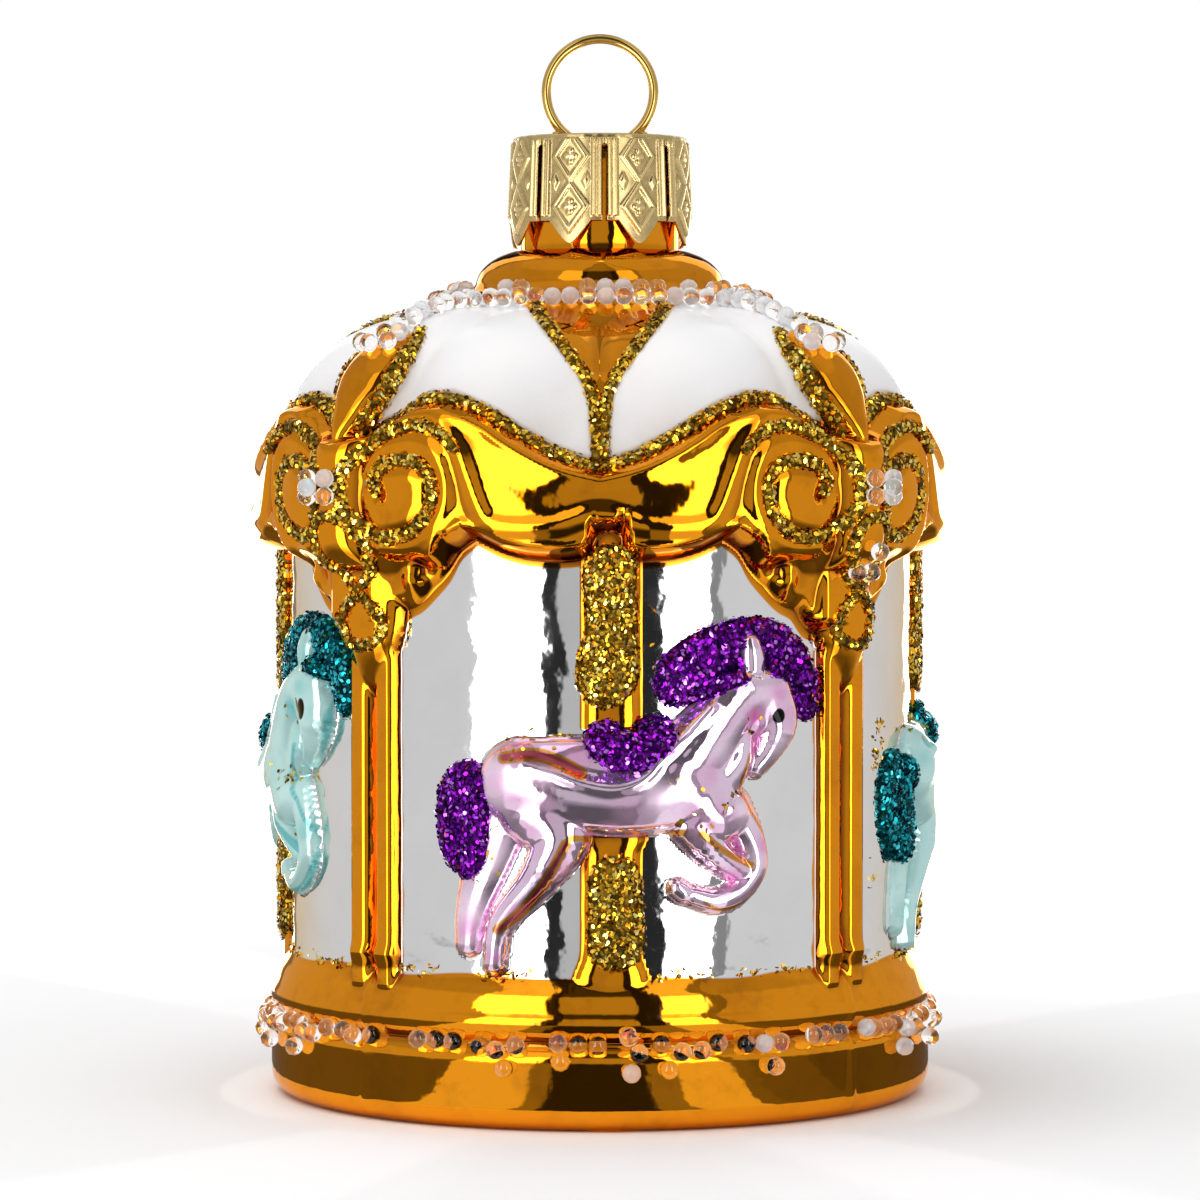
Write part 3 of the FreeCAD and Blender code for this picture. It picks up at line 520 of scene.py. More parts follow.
def horse_relief(u, h):
    """Relief of the horse over its panel, and the depth inside its outline."""
    relief = np.full(u.shape, -8.0)
    depth = np.full(u.shape, -50.0)
    for proud, chain in HORSE.values():
        part = np.full(u.shape, -8.0)
        for away, radius in chain_places(u, h, chain):
            lift = np.minimum(proud, 1.25 * radius) * dome(away, radius)
            part = np.maximum(part, np.where(away < radius, lift, 1.5 * (radius - away)))
            depth = np.maximum(depth, radius - away)
        relief = smooth_max(relief, part, 0.35)
    rim = line_distance(u, h, CLOTH_RIM)
    cloth = line_distance(u, h, CLOTH_FIELD)
    on_horse = np.clip(depth / 0.5, 0, 1)
    relief = relief + on_horse * (0.45 * hump(rim, 0.55) - 0.35 * hump(cloth, 1.3))
    return relief, depth


def ripples(angle, height):
    """The shallow waves of the blown panels; whole waves per side, so the sides meet."""
    turn = np.radians(angle)
    waves = np.sin(0.52 * height + 1.4 * np.sin(8 * turn + 0.4)) * np.sin(16 * turn + 0.8)
    waves = waves + 0.8 * np.sin(0.33 * height - 12 * turn + 1.1) + 0.6 * np.sin(0.95 * height + 20 * turn)
    return waves + 0.5 * np.sin(1.9 * height + 2.2 * np.sin(12 * turn))


def cornice_relief(angle, level):
    """Radius of the scrolled cornice, and the depth inside its outline."""
    a = np.abs(angle)
    foot_angle = np.abs(angle - arch_shift * hump(angle, 7.0))
    top = curve(CORNICE_TOP)(a)
    arch, bracket = curve(CORNICE_FOOT)(foot_angle), curve(BRACKET_FOOT)(foot_angle)
    foot = np.where(foot_angle < cusp_angle, arch, bracket)
    spacing = (angle[0, 1] - angle[0, 0]) * cornice_arc
    top_depth = (top - level) / np.sqrt(1 + np.gradient(top, spacing, axis=1) ** 2)
    foot_depth = (level - foot) / np.sqrt(1 + np.gradient(foot, spacing, axis=1) ** 2)
    depth = np.minimum(top_depth, foot_depth)
    face = curve(CORNICE_FACE)(level)
    x = a * cornice_arc
    for proud, width, points in PRESSED.values():
        face = face + proud * hump(line_distance(x, level, points, cornice_arc), width)
    face = face + 0.15 * hump(top_depth - 1.3, 0.9)
    across, up = (a - scroll_angle) * cornice_arc, level - scroll_height
    from_scroll = np.hypot(across, up)
    boss = eased(scroll_reach + 0.5 - from_scroll, 1.6)
    coil = line_distance(x, level, SCROLL_LINE, cornice_arc)
    face = face + boss * (0.5 - 0.5 * hump(coil, 0.9) + 0.3 * hump(from_scroll, 2.0))
    pocket = np.hypot((a - pocket_place[0]) * cornice_arc, level - pocket_place[1])
    knuckle = np.hypot((a - knuckle_place[0]) * cornice_arc, 0.8 * (level - knuckle_place[1]))
    face = face - 1.5 * hump(pocket, 2.3) + 1.2 * hump(knuckle, 1.0)
    corner = (half_side - a) * cornice_arc
    nose_end = quarter_round(np.minimum(level - nose_foot, nose_top - level), 3.5)
    nose = nose_radius + nose_proud * nose_end * dome(corner, nose_half)
    nose = nose - 4.0 * eased(corner - 2.6, 2.5)
    face = smooth_max(face, nose, 0.5)
    edge = eased(foot_depth + 0.15, 1.9) * eased(top_depth + 0.1, 1.7)
    ledge = drum_radius - 0.4
    solid = ledge + (face - ledge) * edge
    return np.where(depth > 0, solid, ledge + 1.5 * depth), depth


def column_place(angle):
    """Arc length from the nearest column's middle."""
    return ((angle - drum_turn) % (2 * half_side) - half_side) * drum_arc


def pole_reach(u, level):
    """Reach of the pole up the middle of a panel, and the depth inside its outline."""
    height = level - drum_foot
    foot_bell = 0.8 * hump(height, 1.6) + 0.5 * hump(height - 12.6, 0.8)
    upper = np.clip((height - pole_gap_top) / 0.5, -1, 0)
    lower = np.clip((pole_gap_foot - height) / 0.5, -1, 0)
    stave = np.maximum(upper, lower)
    half = pole_half + foot_bell
    pole = drum_radius + pole_proud * dome(u, half) - 1.5 * np.clip(np.abs(u) - half, 0, None)
    pole = np.where(level < panel_top, pole + 2.0 * stave, 0.0)
    return pole, np.minimum(half - np.abs(u), 4 * stave + 0.5)


def column_reach(column, level):
    """Reach of a column's two reeds, with a ring round their foot."""
    from_crest = column - reed_crest
    reed = np.clip(np.where(from_crest < 0, -from_crest / reed_inner, from_crest / reed_outer), 0, 1)
    reeds = drum_radius - 0.1 + reed_proud * np.cbrt(1 - reed ** 3)
    reeds = reeds - 1.5 * np.clip(from_crest - reed_outer, 0, None)
    base_ring = 0.45 * hump(level - column_ring, 0.7) * hump(column, reed_crest + reed_outer)
    on_column = np.clip((column_top - level) / 2, 0, 1) * np.clip((level - column_foot) / 3, 0, 1)
    return np.where(on_column > 0, reeds * on_column + 20.0 * (1 - on_column), 0.0) + base_ring


def capital_reach(column, level, swell):
    """Reach of a column's capital, which is swell wide to each side."""
    capital = drum_radius + capital_proud * np.minimum(1, swell / 3) * dome(column, swell) - 0.3
    on_capital = (column < swell) & (level > capital_foot) & (level < capital_top)
    return np.where(on_capital, capital, 0.0)


def rib_reach(angle, level, rise):
    """Reach of the leaf rib up each corner of the roof, and the distance outside its edge."""
    profile = reach_points(RIB_CREST)
    crest = curve(profile)(level)
    corner = half_side - np.abs(angle)
    aside = crest * np.cos(rise) * np.sin(np.radians(corner))
    half = curve(RIB_HALF_WIDTH)(level)
    fall = rib_depth * (1 - dome(aside, np.maximum(half, 0.3)))
    rib = crest - fall - 2.5 * np.clip(aside - half, 0, None)
    on_rib = (level > profile[0][0]) & (level < profile[-1][0] + 1.0)
    return np.where(on_rib, rib, 0.0), aside - half


def blurred(values, rounds):
    """Grid values smoothed along and across, with the columns closed round the side."""
    for _ in range(rounds):
        open_side = values[:, :-1]
        values = (np.roll(open_side, 1, 1) + np.roll(open_side, -1, 1) + 2 * open_side) / 4
        values = np.hstack([values, values[:, :1]])
        values[1:-1] = (values[:-2] + 2 * values[1:-1] + values[2:]) / 4
    return values


def spots(u, h, places):
    """Soft spots of paint, the strongest at each place."""
    total = np.zeros(u.shape)
    for place_u, place_h, size, strength in places:
        total = np.maximum(total, strength * hump(np.hypot(u - place_u, h - place_h), size))
    return total


def grid_rays():
    """The grid's rays: angle round the side, height of the start, rise in radians, and level."""
    edge = plinth_edge * (1 - np.cos(np.linspace(0, math.pi / 2, edge_rows)[:-1]))
    rows = np.concatenate([edge, np.arange(plinth_edge, fan_level, row_step)])
    slope = np.linspace(0, fan_top, fan_rows)
    angle = np.linspace(-half_side, half_side, side_columns)[None, :]
    base = np.concatenate([rows, np.full(fan_rows, fan_level)])[:, None]
    rise = np.radians(np.concatenate([np.zeros(len(rows)), slope]))[:, None]
    level = np.concatenate([rows, fan_level + fan_scale * slope])[:, None]
    angle, level = np.broadcast_arrays(angle, level)
    return angle, base, rise, level


def glass_side():
    """One side of the glass: grid angles and levels, radius, height and paint depths."""
    angle, base, rise, level = grid_rays()
    fanned = rise > 0
    height = level - drum_foot
    u = (angle - drum_turn) * drum_arc

    look = bpy.context.scene.glass_look
    on_panel = np.clip((level - panel_foot) / 2, 0, 1) * np.clip((panel_top - level) / 2, 0, 1)
    reach = body_reach(level) + ripples(angle, level) * on_panel * look.ripple / MM / 2

    pole, pole_depth = pole_reach(u, level)
    reach = np.where(fanned, reach, smooth_max(reach, pole, 0.15))
    column = np.abs(column_place(angle))
    reach = smooth_max(reach, column_reach(column, level), 0.2)
    swell = curve(CAPITAL_SWELL)(level)
    reach = smooth_max(reach, capital_reach(column, level, swell), 0.4)
    on_base = np.clip((seam_top - level) / 1.2, 0, 1) * np.clip(level / 1.5, 0, 1)
    reach = reach + seam_proud * on_base * hump(column, seam_width)
    horse, horse_depth = horse_relief(u, height)
    reach = np.where(fanned, reach, smooth_max(reach, drum_radius + horse, 0.22))
    cornice, cornice_depth = cornice_relief(angle, level)
    reach = np.where(fanned, reach, smooth_max(reach, cornice, 0.25))
    body = reach.copy()
    for lobe in LOBES:
        reach = smooth_max(reach, lobe_reach(angle, base, rise, *lobe), lobe_blend)
    rib, beside_rib = rib_reach(angle, level, rise)
    reach = smooth_max(reach, rib, 0.35)
    # How far the glass curves in, by how much a blurred copy stands out: it drives painted shade in the
    # creases.
    crease_shade = np.clip(blurred(reach, crease_shade_rounds) - reach, -1, 1)

    wedge = curve(WEDGE_HALF_WIDTH)(level)
    side = body * np.cos(rise) * np.sin(np.radians(np.abs(angle)))
    above_swag = level - curve(CORNICE_TOP)(np.abs(angle)) - 0.1
    under_garland = garland_level + pearl_rise - level
    pearl = np.minimum.reduce([side - wedge, under_garland, above_swag, beside_rib + 0.1])
    sill = silver_foot + 0.25 * np.sin(np.radians(12 * angle)) * hump(np.abs(angle) - 30, 20)
    beside_capital = column - np.where(level > capital_foot, swell + 0.2, 0)
    beside_column = np.minimum(column - column_gold, beside_capital)
    silver = np.minimum.reduce([-0.4 - cornice_depth, level - sill, capital_top - level, beside_column])
    silver = np.minimum(silver, -0.45 - pole_depth)
    eye = 1 - np.hypot((u - eye_place[0]) / eye_half_width, (height - eye_place[1]) / eye_half_height)
    leaf = (np.abs(u - eye_place[0]) - leaf_eye_gap) / leaf_eye_half_width
    leaf_eye = 1 - np.hypot(leaf, (height - eye_place[1]) / leaf_eye_half_height)
    lines = [line_distance(u, height, points) - half for half, points in PAINTED_LINES]

    radius = reach * np.cos(rise)
    top = base + reach * np.sin(rise)
    paint = {
        "silver": silver, "pearl": pearl, "horse": horse_depth, "eye": eye, "leaf_eye": leaf_eye,
        "painted": np.minimum.reduce(lines), "blush": spots(u, height, BLUSHES),
        "haze": spots(u, height, HAZE), "crease_shade": crease_shade,
    }
    return {"angle": angle[0], "level": level[:, 0], "radius": radius, "height": top, "paint": paint}


GLASS = {}


def glass():
    """The side's grid, worked out once."""
    if not GLASS:
        GLASS.update(glass_side())
        GLASS["normal"] = grid_normals(GLASS["angle"], GLASS["radius"], GLASS["height"])
    return GLASS


def grid_normals(angle, radius, height):
    """Outward normals of a grid that repeats every side, as (radial, round, up)."""
    step = np.radians(angle[1] - angle[0])

    def round_slope(values):
        wide = np.hstack([values[:, -2:-1], values, values[:, 1:2]])
        return (wide[:, 2:] - wide[:, :-2]) / (2 * step)

    along_r, along_z = round_slope(radius), round_slope(height)
    up_r, up_z = np.gradient(radius, axis=0), np.gradient(height, axis=0)
    normal = np.stack([radius * up_z, along_z * up_r - along_r * up_z, -radius * up_r], -1)
    return normal / np.maximum(np.linalg.norm(normal, axis=-1, keepdims=True), 1e-12)


def on_glass(angle, level):
    """Points and normals of the glass at angles round the axis and levels."""
    grid = glass()
    last_column, last_row = len(grid["angle"]) - 1, len(grid["level"]) - 1
    wrapped = (angle + half_side) % (2 * half_side) - half_side
    column = (wrapped + half_side) / (2 * half_side) * last_column
    row = np.interp(level, grid["level"], np.arange(last_row + 1))
    left = np.clip(column.astype(int), 0, last_column - 1)
    under = np.clip(row.astype(int), 0, last_row - 1)

    def sample(values):
        across, up = column - left, row - under
        if values.ndim == 3:
            across, up = across[..., None], up[..., None]
        low = values[under, left] * (1 - across) + values[under, left + 1] * across
        high = values[under + 1, left] * (1 - across) + values[under + 1, left + 1] * across
        return low * (1 - up) + high * up

    values = [sample(grid[name]) for name in ("radius", "height", "normal")]
    return in_space(*values, np.radians(angle))


def full_turn(count):
    """Angles spaced evenly round the axis, in radians."""
    return np.linspace(0, 2 * math.pi, count, endpoint=False)


def around(radius, turn, height):
    """Points at radii and heights, turned about the axis."""
    return np.stack(np.broadcast_arrays(radius * np.cos(turn), radius * np.sin(turn), height), -1)


def in_space(radius, height, normal, turn):
    """Points and normals about the axis, from normals as (radial, round, up)."""
    cos, sin = np.cos(turn), np.sin(turn)
    out, along, up = normal[..., 0], normal[..., 1], normal[..., 2]
    normals = np.stack([out * cos - along * sin, out * sin + along * cos, up], -1)
    return around(radius, turn, height), normals


# Meshes and objects

def turned_points(points, degrees):
    """Points, one to a row, turned about the upright axis."""
    turn = math.radians(degrees)
    cos, sin = math.cos(turn), math.sin(turn)
    return points @ np.array([[cos, sin, 0], [-sin, cos, 0], [0, 0, 1.0]])


def grid_faces(rows, columns, closed=False):
    """Quads of a grid of vertices, row by row; closed joins the last column to the first."""
    index = np.arange(rows * columns).reshape(rows, columns)
    following = np.roll(index, -1, 1)
    last = columns if closed else columns - 1
    quads = np.stack([index[:-1], following[:-1], following[1:], index[1:]], -1)
    return quads[:, :last].reshape(-1, 4).tolist()


def tube_faces(rows, columns):
    """Faces of a closed grid with both its ends capped."""
    count = rows * columns
    ends = [list(range(columns))[::-1], list(range(count - columns, count))]
    return grid_faces(rows, columns, closed=True) + ends


def joined(parts):
    """Several parts as one: points, faces and a value for each point."""
    points, faces, values = [], [], []
    first = 0
    for part_points, part_faces, part_values in parts:
        points.append(part_points)
        values.append(part_values)
        faces += [[i + first for i in face] for face in part_faces]
        first += len(part_points)
    return np.vstack(points), faces, np.concatenate(values)


def new_object(name, points, faces):
    """A smooth object at the origin from points in millimetres."""
    mesh = bpy.data.meshes.new(name)
    mesh.from_pydata((np.asarray(points) * MM).tolist(), [], faces)
    mesh.update()
    mesh.shade_smooth()
    piece = bpy.data.objects.new(name, mesh)
    bpy.context.scene.collection.objects.link(piece)
    return piece


def store_values(piece, name, values):
    """A number for every vertex of a piece, as a named attribute."""
    attribute = piece.data.attributes.new(name, "FLOAT", "POINT")
    attribute.data.foreach_set("value", np.asarray(values, np.float32))


def evaluated_piece(name, source):
    """A plain mesh object made from another's modifiers, which is then removed."""
    graph = bpy.context.evaluated_depsgraph_get()
    mesh = bpy.data.meshes.new_from_object(source.evaluated_get(graph))
    mesh.name = name
    old = source.data
    bpy.data.objects.remove(source)
    bpy.data.meshes.remove(old)
    piece = bpy.data.objects.new(name, mesh)
    bpy.context.scene.collection.objects.link(piece)
    return piece


def finish_piece(piece, body, node):
    """Put a piece on its body, in place of a node."""
    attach(piece, body)
    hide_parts(node)


# Materials

class NodeBuilder:
    """Adds nodes to a tree, and fills or links their inputs."""

    def __init__(self, tree):
        self.tree = tree

    def node(self, kind, inputs=None, **settings):
        made = self.tree.nodes.new(kind)
        for key, value in settings.items():
            setattr(made, key, value)
        for key, value in (inputs or {}).items():
            self.put(made.inputs[key], value)
        return made

    def out(self, kind, inputs=None, output=0, **settings):
        """One output of a new node."""
        return self.node(kind, inputs, **settings).outputs[output]

    def put(self, socket, value):
        if isinstance(value, bpy.types.NodeSocket):
            self.tree.links.new(value, socket)
        elif socket.type == "RGBA" and len(value) == 3:
            socket.default_value = (*value, 1.0)
        else:
            socket.default_value = value

    def math(self, operation, a, b):
        return self.out("ShaderNodeMath", {0: a, 1: b}, operation=operation)


class Shader(NodeBuilder):
    """A node material under construction."""

    def __init__(self, name):
        self.material = bpy.data.materials.new(name)
        self.material.use_nodes = True
        super().__init__(self.material.node_tree)
        self.surface = self.tree.nodes["Principled BSDF"]

    def set(self, **values):
        for key, value in values.items():
            self.put(self.surface.inputs[key.replace("_", " ").title().replace("Ior", "IOR")], value)

    def show(self, shader):
        """Send a shader to the material's surface in place of the principled one."""
        self.put(self.tree.nodes["Material Output"].inputs["Surface"], shader)

    def attribute(self, name):
        return self.out("ShaderNodeAttribute", output="Fac", attribute_name=name)

    def span(self, value, low, high, to_low=0.0, to_high=1.0):
        ends = {"From Min": low, "From Max": high, "To Min": to_low, "To Max": to_high}
        return self.out("ShaderNodeMapRange", {"Value": value, **ends}, "Result")

    def mix(self, factor, a, b):
        return self.out("ShaderNodeMix", {"Factor": factor, 6: a, 7: b}, 2, data_type="RGBA")

    def blend(self, factor, a, b):
        return self.out("ShaderNodeMix", {"Factor": factor, 2: a, 3: b}, 0, data_type="FLOAT")

    def noise(self, scale, detail=3.0, roughness=0.5):
        place = self.out("ShaderNodeTexCoord", output="Object")
        settings = {"Vector": place, "Scale": scale, "Detail": detail, "Roughness": roughness}
        return self.out("ShaderNodeTexNoise", settings, "Fac")

    def bump(self, height, distance, strength=1.0, normal=None):
        inputs = {"Height": height, "Distance": distance, "Strength": strength}
        if normal is not None:
            inputs["Normal"] = normal
        return self.out("ShaderNodeBump", inputs, "Normal")


def lacquered_glass(name, coat, shade, line, line_core, opaque, eye_shape):
    """Silvered glass with gold, pearl and horse lacquers in zones that follow the relief."""
    look = bpy.context.scene.glass_look
    # Creases get painted shade: darker gold, and the deeper lacquer colour on the horses.
    s = Shader(name)
    silver = s.span(s.attribute("silver"), -0.08, 0.08)
    pearl_depth = s.attribute("pearl")
    pearl = s.span(pearl_depth, -0.1, 0.1)
    horse = s.span(s.attribute("horse"), -0.15, 0.05)
    eye = s.span(s.attribute(eye_shape), -0.12, 0.05)
    crease_shade = s.attribute("crease_shade")
    cloud = s.noise(140.0, 4.0, 0.6)
    mottle = s.noise(420.0, 3.0, 0.6)

    # Deep gold where the glass curves in is painted shade in the creases, partly lacquer pooled there;
    # clouds and mottle add random tone.
    shaded = s.math("ADD", s.span(crease_shade, 0.02, 0.35), s.math("MULTIPLY", s.span(cloud, 0.5, 0.75), 0.35))
    shaded = s.math("ADD", shaded, s.span(mottle, 0.55, 0.8, 0.0, 0.25))
    gold = s.mix(shaded, look.gold, look.deep_gold_and_shade)
    mirror = s.mix(s.span(cloud, 0.35, 0.7, 0.0, 0.16), look.silver, (0.55, 0.55, 0.56))
    fade = s.span(s.math("ADD", pearl_depth, s.math("MULTIPLY", mottle, 0.6)), 0.1, 0.9)
    white = s.mix(fade, look.overspray, look.pearl)
    wash = s.span(s.noise(210.0, 2.0), 0.52, 0.78, 0.0, 0.55)
    tint_and_shade = s.math("MAXIMUM", s.attribute("blush"), wash)
    # The horse lacquer deepens in its creases as painted shade, on top of the blush spots and random wash.
    tint_and_shade = s.math("MAXIMUM", tint_and_shade, s.span(crease_shade, 0.05, 0.5, 0.0, 0.8))
    haze = s.attribute("haze")
    milky = s.mix(haze, coat, [0.85 * c + 0.12 for c in coat])
    lacquer = s.mix(tint_and_shade, milky, shade)
    drawn = s.attribute("painted")
    lacquer = s.mix(s.span(drawn, 0.10, -0.06), lacquer, line)
    lacquer = s.mix(s.span(drawn, -0.16, -0.30), lacquer, line_core)

    colour = s.mix(silver, gold, mirror)
    colour = s.mix(pearl, colour, white)
    colour = s.mix(horse, colour, lacquer)
    colour = s.mix(eye, colour, (0.004, 0.004, 0.005))
    metal = s.blend(pearl, 1.0, 0.0)
    cover = s.math("MAXIMUM", tint_and_shade, haze)
    metal = s.blend(horse, metal, s.span(cover, 0.1, 0.9, 1.0 - opaque, max(0.0, 0.3 - opaque)))
    metal = s.blend(eye, metal, 1.0)
    rough = s.blend(pearl, s.span(cloud, 0.3, 0.8, 0.03, 0.08), 0.42)
    rough = s.blend(horse, rough, s.span(haze, 0.2, 0.9, 0.05 + 0.12 * opaque, 0.35))
    rough = s.blend(eye, rough, 0.1)

    ripple = s.noise(520.0, 2.0, 0.45)
    grain = s.noise(2600.0, 2.0)
    wave = s.bump(ripple, 0.00006, 0.6)
    normal = s.bump(s.math("MULTIPLY", grain, pearl), 0.00002, 0.5, wave)
    s.set(base_color=colour, metallic=metal, roughness=rough, normal=normal)
    s.set(coat_weight=0.2, coat_roughness=0.03, specular_tint=(1.0, 0.75, 0.45))
    return s.material


def glitter_metal(name, colour, dark, bright):
    """Metallic flakes: each has its own tone, from dark to bright."""
    s = Shader(name)
    tone = s.attribute("tone")
    shade = s.mix(s.span(tone, 0.05, 0.40), dark, colour)
    shade = s.mix(s.span(tone, 0.70, 0.92), shade, bright)
    s.set(base_color=shade, metallic=1.0, roughness=s.span(tone, 0.0, 1.0, 0.28, 0.12))
    s.set(normal=s.bump(s.noise(9000.0, 1.0), 0.00001, 0.3))
    return s.material


def glue(name, colour):
    """The clear glue under the flakes, coloured dark as painted shade between them."""
    s = Shader(name)
    speck = s.span(s.noise(1800.0, 3.0), 0.4, 0.65)
    # Dark glue colour, with random specks: painted shade in the gaps between flakes.
    s.set(base_color=s.mix(speck, [0.05 * c for c in colour], [0.3 * c for c in colour]))
    s.set(roughness=0.45, metallic=0.3, specular_ior_level=0.05)
    s.set(normal=s.bump(s.noise(2400.0, 2.0), 0.00015, 0.6))
    return s.material


def bead_glass(name, colours, clouds, rough, clear, ior, grain):
    """Clear or milky bead glass; clouds and grain say what noise, where and how much."""
    s = Shader(name)
    scale, detail, low, high = clouds
    s.set(base_color=s.mix(s.span(s.noise(scale, detail), low, high), *colours))
    s.set(roughness=rough, transmission_weight=clear, ior=ior)
    scale, detail, distance, strength = grain
    s.set(normal=s.bump(s.noise(scale, detail), distance, strength))
    return s.material


def cap_metal():
    """Satin sheet, brighter where the stamping stands up."""
    look = bpy.context.scene.cap_look
    s = Shader("champagne satin metal")
    cloud = s.noise(700.0, 5.0, 0.65)
    # Brighter and smoother where the stamping stands up.
    stamped_high = s.span(s.attribute("relief"), 0.2, 0.9)
    shade = s.mix(s.span(cloud, 0.35, 0.7), [0.7 * c for c in look.champagne], look.champagne)
    shade = s.mix(stamped_high, shade, [min(1.0, 1.12 * c) for c in look.champagne])
    rough = s.math("ADD", s.span(cloud, 0.3, 0.7, 0.18, 0.26), s.span(stamped_high, 0.0, 1.0, 0.05, -0.04))
    s.set(base_color=shade, metallic=1.0, roughness=rough)
    s.set(normal=s.bump(s.noise(5200.0, 3.0), 0.00002, 0.1))
    return s.material


def wire_metal():
    """Polished wire with a faint cloud."""
    look = bpy.context.scene.cap_look
    s = Shader("polished gold wire")
    cloud = s.noise(500.0, 4.0)
    s.set(base_color=s.mix(s.span(cloud, 0.3, 0.7), look.wire, [min(1.0, 1.2 * c) for c in look.wire]))
    s.set(metallic=1.0, roughness=s.span(cloud, 0.3, 0.7, 0.05, 0.1))
    s.set(normal=s.bump(s.noise(900.0, 2.0), 0.00001, 0.2))
    return s.material


def seen_rays(builder):
    """1 for rays that see the backdrop: from the camera, mirrored or through glass."""
    rays = builder.node("ShaderNodeLightPath").outputs
    seen = builder.math("MAXIMUM", rays["Is Camera Ray"], rays["Is Glossy Ray"])
    return builder.math("MAXIMUM", seen, rays["Is Transmission Ray"])


# Geometry nodes

class Tree(NodeBuilder):
    """A geometry node tree under construction, with named inputs."""

    def __init__(self, name, inputs):
        super().__init__(bpy.data.node_groups.new(name, "GeometryNodeTree"))
        self.ids = {}
        for label, kind in [("Geometry", "Geometry"), *inputs]:
            socket = self.tree.interface.new_socket(label, in_out="INPUT", socket_type="NodeSocket" + kind)
            self.ids[label] = socket.identifier
        self.tree.interface.new_socket("Geometry", in_out="OUTPUT", socket_type="NodeSocketGeometry")
        self.start = self.tree.nodes.new("NodeGroupInput")
        self.end = self.tree.nodes.new("NodeGroupOutput")

    def input(self, label):
        return self.start.outputs[label]

    def named(self, name):
        return self.out("GeometryNodeInputNamedAttribute", {"Name": name}, "Attribute", data_type="FLOAT")

    def random(self, low, high, seed):
        ends = {2: low, 3: high, "Seed": seed}
        return self.out("FunctionNodeRandomValue", ends, 1, data_type="FLOAT")

    def rotation(self, **angles):
        """A rotation from angles about X, Y and Z."""
        return self.out("FunctionNodeEulerToRotation", {0: self.out("ShaderNodeCombineXYZ", angles)})

    def rotated(self, rotation, by):
        inputs = {"Rotation": rotation, "Rotate By": by}
        return self.out("FunctionNodeRotateRotation", inputs, rotation_space="LOCAL")

    def realized(self, instances, tone):
        """Instances as plain geometry, each with its own tone."""
        inputs = {"Geometry": instances, "Name": "tone", "Value": tone}
        toned = self.out("GeometryNodeStoreNamedAttribute", inputs, data_type="FLOAT", domain="INSTANCE")
        return self.out("GeometryNodeRealizeInstances", {"Geometry": toned})

    def painted(self, geometry, material, **more):
        inputs = {"Geometry": geometry, "Material": self.input(material), **more}
        return self.out("GeometryNodeSetMaterial", inputs)

    def finish(self, geometry):
        self.tree.links.new(geometry, self.end.inputs[0])
        return self

    def apply(self, name, source, values):
        """The plain mesh that this tree makes of a source object."""
        modifier = source.modifiers.new(self.tree.name, "NODES")
        modifier.node_group = self.tree
        for label, value in values.items():
            modifier[self.ids[label]] = value
        return evaluated_piece(name, source)


def flake_tree():
    """Scatters leaning six-sided flakes over the tops of glue strips."""
    t = Tree("Glitter flakes", [
        ("Flake Width", "Float"), ("Flakes per Area", "Float"), ("Lean", "Float"), ("Seed", "Int"),
        ("Flake Metal", "Material"), ("Glue", "Material"),
    ])
    strips = t.input("Geometry")
    density = t.math("MULTIPLY", t.named("cover"), t.input("Flakes per Area"))
    points = t.node(
        "GeometryNodeDistributePointsOnFaces",
        {"Mesh": strips, "Density": density, "Seed": t.input("Seed")},
    ).outputs
    half = t.math("MULTIPLY", t.input("Flake Width"), 0.5)
    flake = t.out("GeometryNodeMeshCircle", {"Vertices": 6, "Radius": half}, "Mesh", fill_type="NGON")
    tilt = t.rotation(X=t.random(t.math("MULTIPLY", t.input("Lean"), -1.0), t.input("Lean"), 11))
    roll = t.rotation(Z=t.random(0.0, 2 * math.pi, 12))
    place = t.rotated(t.rotated(points["Rotation"], roll), tilt)
    sizes = {"X": t.random(0.7, 1.3, 13), "Y": t.random(0.4, 0.9, 15), "Z": 1.0}
    size = t.out("ShaderNodeCombineXYZ", sizes)
    lift = {0: points["Normal"], "Scale": t.random(0.0, 0.00024, 16)}
    stand = t.out("ShaderNodeVectorMath", lift, operation="SCALE")
    raised = t.out("GeometryNodeSetPosition", {"Geometry": points["Points"], "Offset": stand})
    flakes = t.out("GeometryNodeInstanceOnPoints", {
        "Points": raised, "Instance": flake, "Rotation": place, "Scale": size,
    })
    flakes = t.painted(t.realized(flakes, t.random(0.0, 1.0, 14)), "Flake Metal")
    joined = t.node("GeometryNodeJoinGeometry")
    t.put(joined.inputs[0], t.painted(strips, "Glue"))
    t.put(joined.inputs[0], flakes)
    return t.finish(joined.outputs[0])


def bead_tree():
    """Sets a glass ball on every point; a share of them is frosted."""
    t = Tree("Glass beads", [
        ("Bead Radius", "Float"), ("Frosted Share", "Float"), ("Seed", "Int"), ("Clear", "Material"),
        ("Frosted", "Material"),
    ])
    size = {"Radius": t.input("Bead Radius"), "Subdivisions": 2}
    ball = t.out("GeometryNodeMeshIcoSphere", size, "Mesh")
    ball = t.out("GeometryNodeSetShadeSmooth", {"Geometry": ball})
    turn = t.rotation(X=t.random(0.0, 6.28, 4), Z=t.random(0.0, 6.28, 5))
    points = t.out("GeometryNodeMeshToPoints", {"Mesh": t.input("Geometry")})
    beads = t.out("GeometryNodeInstanceOnPoints", {"Points": points, "Instance": ball, "Rotation": turn})
    beads = t.painted(t.realized(beads, t.random(0.0, 1.0, t.input("Seed"))), "Clear")
    milky = t.math("LESS_THAN", t.named("tone"), t.input("Frosted Share"))
    return t.finish(t.painted(beads, "Frosted", Selection=milky))


# Glitter strips on the glass

